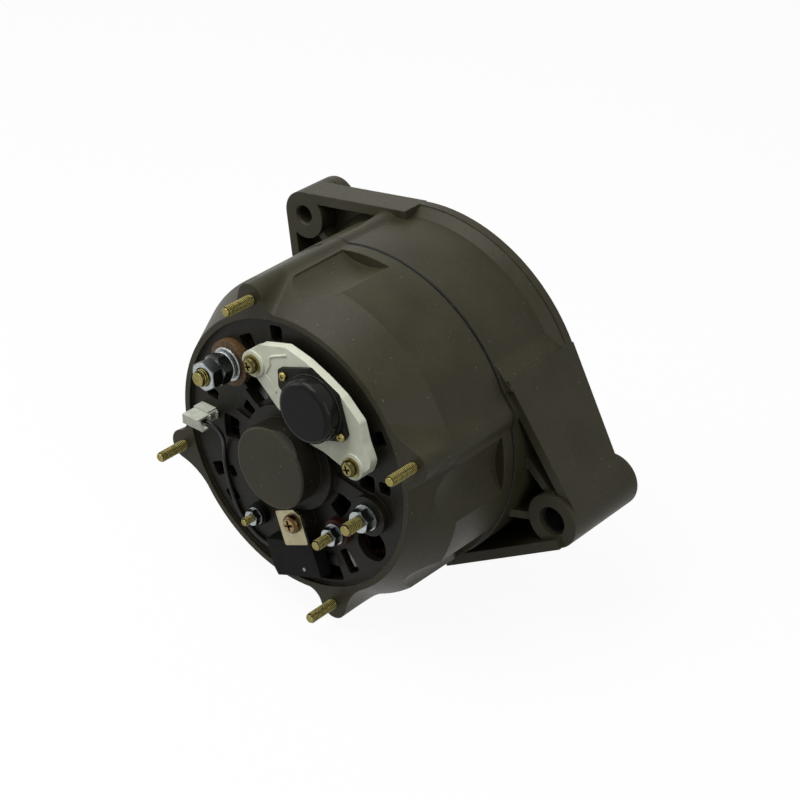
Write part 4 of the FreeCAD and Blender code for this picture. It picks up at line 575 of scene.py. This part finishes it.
def hexagon(flats):
    reach = flats / math.sqrt(3)
    return [(reach * math.cos(math.radians(60 * i)), reach * math.sin(math.radians(60 * i)))
            for i in range(6)]


def carve(shape, cutter):
    """Cuts the cutter out of the shape."""
    pair = []
    for part, label in ((shape, "blank"), (cutter, "cutter")):
        bmesh.ops.recalc_face_normals(part, faces=part.faces)
        mesh = bpy.data.meshes.new(label)
        part.to_mesh(mesh)
        pair.append(link(label, mesh))
    blank, tool = pair
    cut = blank.modifiers.new("cut", "BOOLEAN")
    cut.operation = "DIFFERENCE"
    cut.solver = "EXACT"
    cut.use_self = True
    cut.object = tool
    graph = bpy.context.evaluated_depsgraph_get()
    result = bpy.data.meshes.new_from_object(blank.evaluated_get(graph))
    shape.clear()
    shape.from_mesh(result)
    cutter.free()
    for made in pair:
        mesh = made.data
        bpy.data.objects.remove(made)
        bpy.data.meshes.remove(mesh)
    bpy.data.meshes.remove(result)


def thread(shape, x, z, radius, pitch, first, last, count=24):
    """A helical ridge that fades out at both ends; "groove" is 1 at its foot, 0 on its crest."""
    depth = THREAD_DEPTH * pitch
    groove = shape.verts.layers.float.get("groove") or shape.verts.layers.float.new("groove")
    steps = int((last - first) / pitch * count)
    rows = []
    for i in range(steps + 1):
        angle = 2 * math.pi * i / count
        middle = first + pitch * i / count
        rise = depth * min(1.0, 1.4 * min(i, steps - i) / count)
        line = []
        for share, height in ((-0.5, 0.0), (-0.09, rise), (0.09, rise), (0.5, 0.0)):
            station = min(max(middle + share * pitch, first), last)
            point = corner(shape, x, z, radius - depth + height, angle, station)
            point[groove] = 1.0 - height / depth
            line.append(point)
        rows.append(line)
    for before, after in zip(rows, rows[1:]):
        for k in range(3):
            shape.faces.new((before[k], before[k + 1], after[k + 1], after[k]))


def stud(shape, x, z, radius, pitch, tip, free_end, end):
    """A dimpled stud: threaded from its tip to free_end, held from there to end."""
    core = radius - THREAD_DEPTH * pitch
    shank = radius * ENGAGED
    dimple = 0.34 * radius
    begin = tip + 0.35 * pitch
    lathe(shape, x, z, [(0, tip + 0.5 * dimple), (dimple, tip), (core - 0.1, tip),
                        (core + COVER, begin), (core + COVER, free_end), (shank, free_end),
                        (shank, end), (0, end)])
    thread(shape, x, z, radius, pitch, begin, free_end + 0.4)


def hex_head(shape, x, z, flats, first, last, turn=0.0):
    reach = flats / math.sqrt(3)
    lathe(shape, x, z, [(0, first), (reach, first), (reach, last - 0.4), (reach * 0.94, last),
                        (0, last)], 6, turn=math.radians(turn))


def hex_nut(shape, x, z, flats, bore, first, last, turn, steps=72):
    """A nut whose corners are cut back by 30 degree cones at both ends."""
    half = flats / 2
    face = 0.94 * half
    rows = []
    for i in range(steps):
        step = 2 * math.pi * i / steps
        reach = half / math.cos(step % (math.pi / 3) - math.pi / 6)
        drop = (reach - face) * math.tan(math.radians(30))
        section = [(bore + 0.5, first), (face, first), (reach, first + drop),
                   (reach, last - drop), (face, last), (bore + 0.5, last), (bore, last - 0.5),
                   (bore, first + 0.5)]
        angle = math.radians(turn) + step
        rows.append([corner(shape, x, z, r, angle, station) for r, station in section])
    for before, after in zip(rows, rows[1:] + rows[:1]):
        bridge(shape, before, after)


def finish_piece(name, shape, body, slot, material, *nodes):
    mesh = bpy.data.meshes.new(name)
    bmesh.ops.recalc_face_normals(shape, faces=shape.faces)
    shape.to_mesh(mesh)
    shape.free()
    mesh.materials.append(MATERIALS[material])
    mesh.shade_smooth()
    mesh.set_sharp_from_angle(angle=math.radians(34))
    piece = link(name, mesh)
    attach(piece, body)
    if nodes:
        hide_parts(*nodes)
    return piece


# Pieces
def through_bolts():
    tip, end = stations("through_bolts")
    seat = end - BOLT_HEAD
    shape = bmesh.new()
    for angle in BOLT_ANGLES:
        a = math.radians(angle)
        x, z = BOLT_CIRCLE_R * math.cos(a), BOLT_CIRCLE_R * math.sin(a)
        stud(shape, x, z, BOLT_R, BOLT_PITCH, tip, 0.0, seat)
        hex_head(shape, x, z, BOLT_FLATS, seat, end, angle)
    finish_piece("threaded_bolts", shape, "housing", "yellow_zinc", "yellow_zinc",
                 "through_bolts")


def terminal(name, node, nut_node, radius, pitch, flats, head):
    tip, end = stations(node)
    x, z = axis_of(node)
    shape = bmesh.new()
    stud(shape, x, z, radius, pitch, tip, stations(nut_node)[0], end - head)
    if head:
        hex_head(shape, x, z, flats, end - head, end)
    finish_piece(name, shape, "housing", "yellow_zinc", "yellow_zinc", node)


def shaft():
    first, tip = stations("rotor_shaft")
    step = stations("slip_ring_insulator")[1] + 1.0
    poles = stations("pole_half_front")[1]
    seat_end = SHOULDER + SEAT_LENGTH
    core = SHAFT_END_R - THREAD_DEPTH * SHAFT_PITCH
    shape = bmesh.new()
    lathe(shape, 0, 0, [(0, first), (SHAFT_REAR_R - 0.5, first), (SHAFT_REAR_R, first + 0.5),
                        (SHAFT_REAR_R, step), (SHAFT_R, step), (SHAFT_R, poles),
                        (SEAT_R, poles), (SEAT_R, SHOULDER - UNDERCUT_WIDTH),
                        (UNDERCUT_R, SHOULDER - UNDERCUT_WIDTH), (UNDERCUT_R, SHOULDER),
                        (SEAT_R, SHOULDER), (SEAT_R, seat_end - 0.4), (SEAT_R - 0.4, seat_end),
                        (core + COVER, seat_end), (core + COVER, tip - 0.3),
                        (core - 0.3, tip), (0, tip)], 72)
    cutter = bmesh.new()
    prism(cutter, hexagon(SOCKET_FLATS), tip - SOCKET_DEPTH, tip + 1.0)
    carve(shape, cutter)
    thread(shape, 0, 0, SHAFT_END_R, SHAFT_PITCH, seat_end + 0.3, tip - 0.3, 48)
    finish_piece("threaded_shaft", shape, "rotor", "steel", "steel", "rotor_shaft")


def battery_nuts():
    x, z = axis_of("battery_nuts")
    seat = stations("battery_nuts")[1]
    shape = bmesh.new()
    for place, turn in enumerate(NUT_TURNS):
        last = seat - place * NUT_HEIGHT
        hex_nut(shape, x, z, NUT_FLATS, NUT_BORE_R, last - NUT_HEIGHT + 0.02, last, turn)
    finish_piece("hex_battery_nuts", shape, "housing", "bright_zinc", "bright_zinc",
                 "battery_nuts")


def battery_washers():
    """A plain washer and, on it, a split spring washer."""
    x, z = axis_of("battery_washers")
    first, last = stations("battery_washers")
    middle = first + 2.0
    shape = bmesh.new()
    lathe(shape, x, z, [(WASHER_BORE_R, middle), (WASHER_R - 0.3, middle),
                        (WASHER_R, middle + 0.3), (WASHER_R, last - 0.3),
                        (WASHER_R - 0.3, last), (WASHER_BORE_R, last)], 48, closed=True)
    steps, share = 44, 0.965
    sections = []
    for i in range(steps + 1):
        angle = math.radians(-60) + 2 * math.pi * share * i / steps
        lift = 0.3 * (i / steps - 0.5)
        low, high = first + 0.15 + lift, middle - 0.15 + lift
        outline = [(SPRING_WASHER_BORE_R, low), (SPRING_WASHER_R - 0.3, low),
                   (SPRING_WASHER_R, low + 0.3), (SPRING_WASHER_R, high - 0.3),
                   (SPRING_WASHER_R - 0.3, high), (SPRING_WASHER_BORE_R, high)]
        sections.append([corner(shape, x, z, r, angle, station) for r, station in outline])
    loft(shape, sections)
    finish_piece("lock_washers", shape, "housing", "bright_zinc", "washer_zinc",
                 "battery_washers")


def cross_recess(cutter, x, z, first, head_r, head):
    for turn in CROSS_TURNS:
        a = math.radians(turn)
        along = (math.cos(a), math.sin(a))
        side = (-along[1], along[0])
        corners = []
        for station, reach, half in ((first - 0.4, 0.62 * head_r, 0.15 * head_r),
                                     (first + 0.66 * head, 0.28 * head_r, 0.10 * head_r)):
            for u, v in ((1, 1), (1, -1), (-1, -1), (-1, 1)):
                corners.append(cutter.verts.new(row((
                    x + u * reach * along[0] + v * half * side[0], station,
                    z + u * reach * along[1] + v * half * side[1]))))
        top, bottom = corners[:4], corners[4:]
        cutter.faces.new(top)
        cutter.faces.new(bottom)
        bridge(cutter, top, bottom)


def cross_screws(name, node, material, places, radius, head_r, head):
    first, last = stations(node)
    seat = first + head
    shape = bmesh.new()
    cutter = bmesh.new()
    for x, z in places:
        lathe(shape, x, z, [(0, first), (head_r * 0.55, first + 0.04 * head),
                            (head_r * 0.8, first + 0.16 * head),
                            (head_r * 0.95, first + 0.4 * head),
                            (head_r, first + 0.62 * head), (head_r, seat), (radius, seat),
                            (radius, last), (0, last)])
        cross_recess(cutter, x, z, first, head_r, head)
    carve(shape, cutter)
    finish_piece(name, shape, "housing", "yellow_zinc", material, node)


def connector():
    """The block, its raised back, the wing with the lead's entry and two ribs beside it."""
    left, side, wing = -58.5, -48.8, -45.6
    low, shelf, high = -1.1, 0.0, 3.7
    front, back = -11.0, 2.0
    shape = bmesh.new()
    prism(shape, rectangle(left, low, side, high), front, back)
    prism(shape, rectangle(left, high - 0.1, side - 0.8, high + 0.9), -3.6, back)
    prism(shape, [(side - 0.1, low), (wing, low), (wing - 0.4, shelf), (side - 0.1, high - 0.2)],
          front, front + 1.2)
    prism(shape, rectangle(side - 0.1, low, wing, shelf - 0.2), front + 1.1, -7.4)
    for station in (-4.1, 0.6):
        prism(shape, rectangle(side - 0.1, shelf, side + 1.2, high - 0.2), station, station + 0.8)
    cutter = bmesh.new()
    for first, last in ((-8.6, -4.6), (-2.8, 0.1)):
        prism(cutter, rectangle(side - 2.8, shelf, side + 0.3, 2.6), first, last)
    carve(shape, cutter)
    finish_piece("stepped_connector", shape, "housing", "white_plastic", "connector_plastic",
                 "lead_connector")


def regulator_lip():
    top = PLATE_FACE - LIP_HEIGHT
    shape = bmesh.new()
    lathe(shape, *CAP, [(CAP_R, PLATE_FACE), (LIP_R, PLATE_FACE), (LIP_R, top + 0.3),
                        (LIP_R - 0.3, top), (CAP_R, top)], 72, closed=True)
    finish_piece("regulator_lip", shape, "housing", "gloss_black", "gloss_black")


def holder_step():
    """A low bead along the moulded edge on the brush holder."""
    shape = bmesh.new()
    sections = []
    for i, point in enumerate(HOLDER_STEP):
        before = HOLDER_STEP[max(i - 1, 0)]
        after = HOLDER_STEP[min(i + 1, len(HOLDER_STEP) - 1)]
        along = Vector((after[0] - before[0], after[1] - before[1])).normalized()
        side = Vector((-along.y, along.x))
        section = []
        for across, rise in ((-STEP_HALF, -0.1), (-0.45 * STEP_HALF, STEP_RISE),
                             (0.45 * STEP_HALF, STEP_RISE), (STEP_HALF, -0.1)):
            section.append(shape.verts.new(row((point[0] + side.x * across, HOLDER_FACE - rise,
                                                point[1] + side.y * across))))
        sections.append(section)
    loft(shape, sections)
    finish_piece("holder_step", shape, "housing", "white_plastic", "white_plastic")


def adjusting_boss_end():
    """The last stretch of the adjusting lug's boss, which the casting's node lacks."""
    face = LUG_BOSS_FACE
    end = face + LUG_BOSS_EXTRA
    shape = bmesh.new()
    lathe(shape, *LUG_BOSS, [(8.0, face - 2.0), (LUG_BOSS_R, face - 2.0),
                             (LUG_BOSS_R, face + 2.4), (11.4, face + 3.7), (10.3, end),
                             (LUG_BORE_R + 0.5, end), (LUG_BORE_R, end - 0.5),
                             (LUG_BORE_R, face - 0.2), (8.0, face - 0.2)], 72, closed=True)
    finish_piece("adjusting_boss_end", shape, "housing", "casting_paint", "casting_paint")


def brush_spring(letter):
    """A coil between brush and holder."""
    low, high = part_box("brush_spring_" + letter)
    middle = (low[1] + high[1]) / 2 / MM + SHOULDER
    inner, outer = SPRING_ENDS
    length = outer - inner
    along = Vector((math.cos(BRUSH_ANGLE), 0.0, math.sin(BRUSH_ANGLE)))
    across = Vector((-along.z, 0.0, along.x))
    shape = bmesh.new()
    sections = []
    for i in range(SPRING_TURNS * SPRING_STEPS + 1):
        turned = i / SPRING_STEPS
        rise = (turned - SPRING_DEAD_TURNS) / (SPRING_TURNS - 2 * SPRING_DEAD_TURNS)
        reach = inner + SPRING_WIRE_R + (length - 2 * SPRING_WIRE_R) * min(max(rise, 0.0), 1.0)
        a = 2 * math.pi * turned
        out = across * math.cos(a) + Vector((0.0, math.sin(a), 0.0))
        section = []
        for k in range(WIRE_STEPS):
            b = 2 * math.pi * k / WIRE_STEPS
            place = (along * (reach + SPRING_WIRE_R * math.sin(b))
                     + out * (SPRING_R - SPRING_WIRE_R + SPRING_WIRE_R * math.cos(b)))
            section.append(shape.verts.new(row((place.x, middle + place.y, place.z))))
        sections.append(section)
    loft(shape, sections)
    piece = finish_piece("coil_spring_" + letter, shape, "housing", "steel", "steel",
                         "brush_spring_" + letter)
    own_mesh(piece)


def eyelet():
    shape = bmesh.new()
    face = CAPACITOR_FACE
    lathe(shape, *EYELET, [(0, face), (0.25, face - 0.02), (0.45, face - 0.3),
                           (0.75, face - 0.35), (1.0, face - 0.15), (1.1, face + 0.2),
                           (0, face + 0.2)], 28)
    finish_piece("capacitor_eyelet", shape, "housing", "bright_zinc", "bright_zinc")


def lead():
    data = bpy.data.curves.new("capacitor_cable", "CURVE")
    data.dimensions = "3D"
    data.bevel_depth = LEAD_R * MM
    data.bevel_resolution = 4
    data.resolution_u = 10
    data.use_fill_caps = True
    line = data.splines.new("NURBS")
    line.points.add(len(LEAD) - 1)
    for place, point in zip(line.points, LEAD):
        place.co = (*row(point), 1.0)
    line.order_u = 3
    line.use_endpoint_u = True
    data.materials.append(MATERIALS["cable_black"])
    cable = link("capacitor_cable", data)
    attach(cable, "housing")
    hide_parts("capacitor_lead")


# White surroundings
def white_floor(level):
    half = STAGE_HALF
    mesh = bpy.data.meshes.new("floor")
    mesh.from_pydata([(-half, -half, level), (half, -half, level), (half, half, level),
                      (-half, half, level)], [], [(0, 1, 2, 3)])
    floor = link("floor", mesh)
    made = bpy.data.materials.new("stage_white")
    made.use_nodes = True
    tree = made.node_tree
    tree.nodes.clear()
    shown = directly_seen(tree)
    matte = add(tree, "ShaderNodeBsdfDiffuse")
    plug(tree, blend(tree, shown, (0.15, 0.15, 0.15), (0.9, 0.9, 0.9)), matte.inputs["Color"])
    glow = add(tree, "ShaderNodeEmission")
    glow.inputs["Strength"].default_value = 1.0
    mixed = add(tree, "ShaderNodeMixShader")
    out = add(tree, "ShaderNodeOutputMaterial")
    tree.links.new(calc(tree, "MULTIPLY", shown, STAGE_GLOW), mixed.inputs[0])
    tree.links.new(matte.outputs[0], mixed.inputs[1])
    tree.links.new(glow.outputs[0], mixed.inputs[2])
    tree.links.new(mixed.outputs[0], out.inputs["Surface"])
    mesh.materials.append(made)


def light_world():
    world = bpy.data.worlds.new("studio")
    bpy.context.scene.world = world
    world.use_nodes = True
    tree = world.node_tree
    tree.nodes.clear()
    mixed = add(tree, "ShaderNodeMixShader")
    tree.links.new(directly_seen(tree), mixed.inputs[0])
    for place, strength in ((1, SOFT_LIGHT), (2, 1.0)):
        light = add(tree, "ShaderNodeBackground")
        light.inputs["Color"].default_value = (1, 1, 1, 1)
        light.inputs["Strength"].default_value = strength
        tree.links.new(light.outputs[0], mixed.inputs[place])
    out = add(tree, "ShaderNodeOutputWorld")
    tree.links.new(mixed.outputs[0], out.inputs["Surface"])


bpy.context.scene.view_settings.view_transform = "Standard"
make_camera()
white_floor(cad_low.z)
light_world()
for values in LIGHTS:
    area_light(*values)

MATERIALS = make_materials()
dress()
lead()
through_bolts()
for values in STUDS:
    terminal(*values)
shaft()
battery_nuts()
battery_washers()
for values in CROSS_SCREWS:
    cross_screws(*values)
regulator_lip()
eyelet()
adjusting_boss_end()
connector()
for letter in "ab":
    brush_spring(letter)
holder_step()
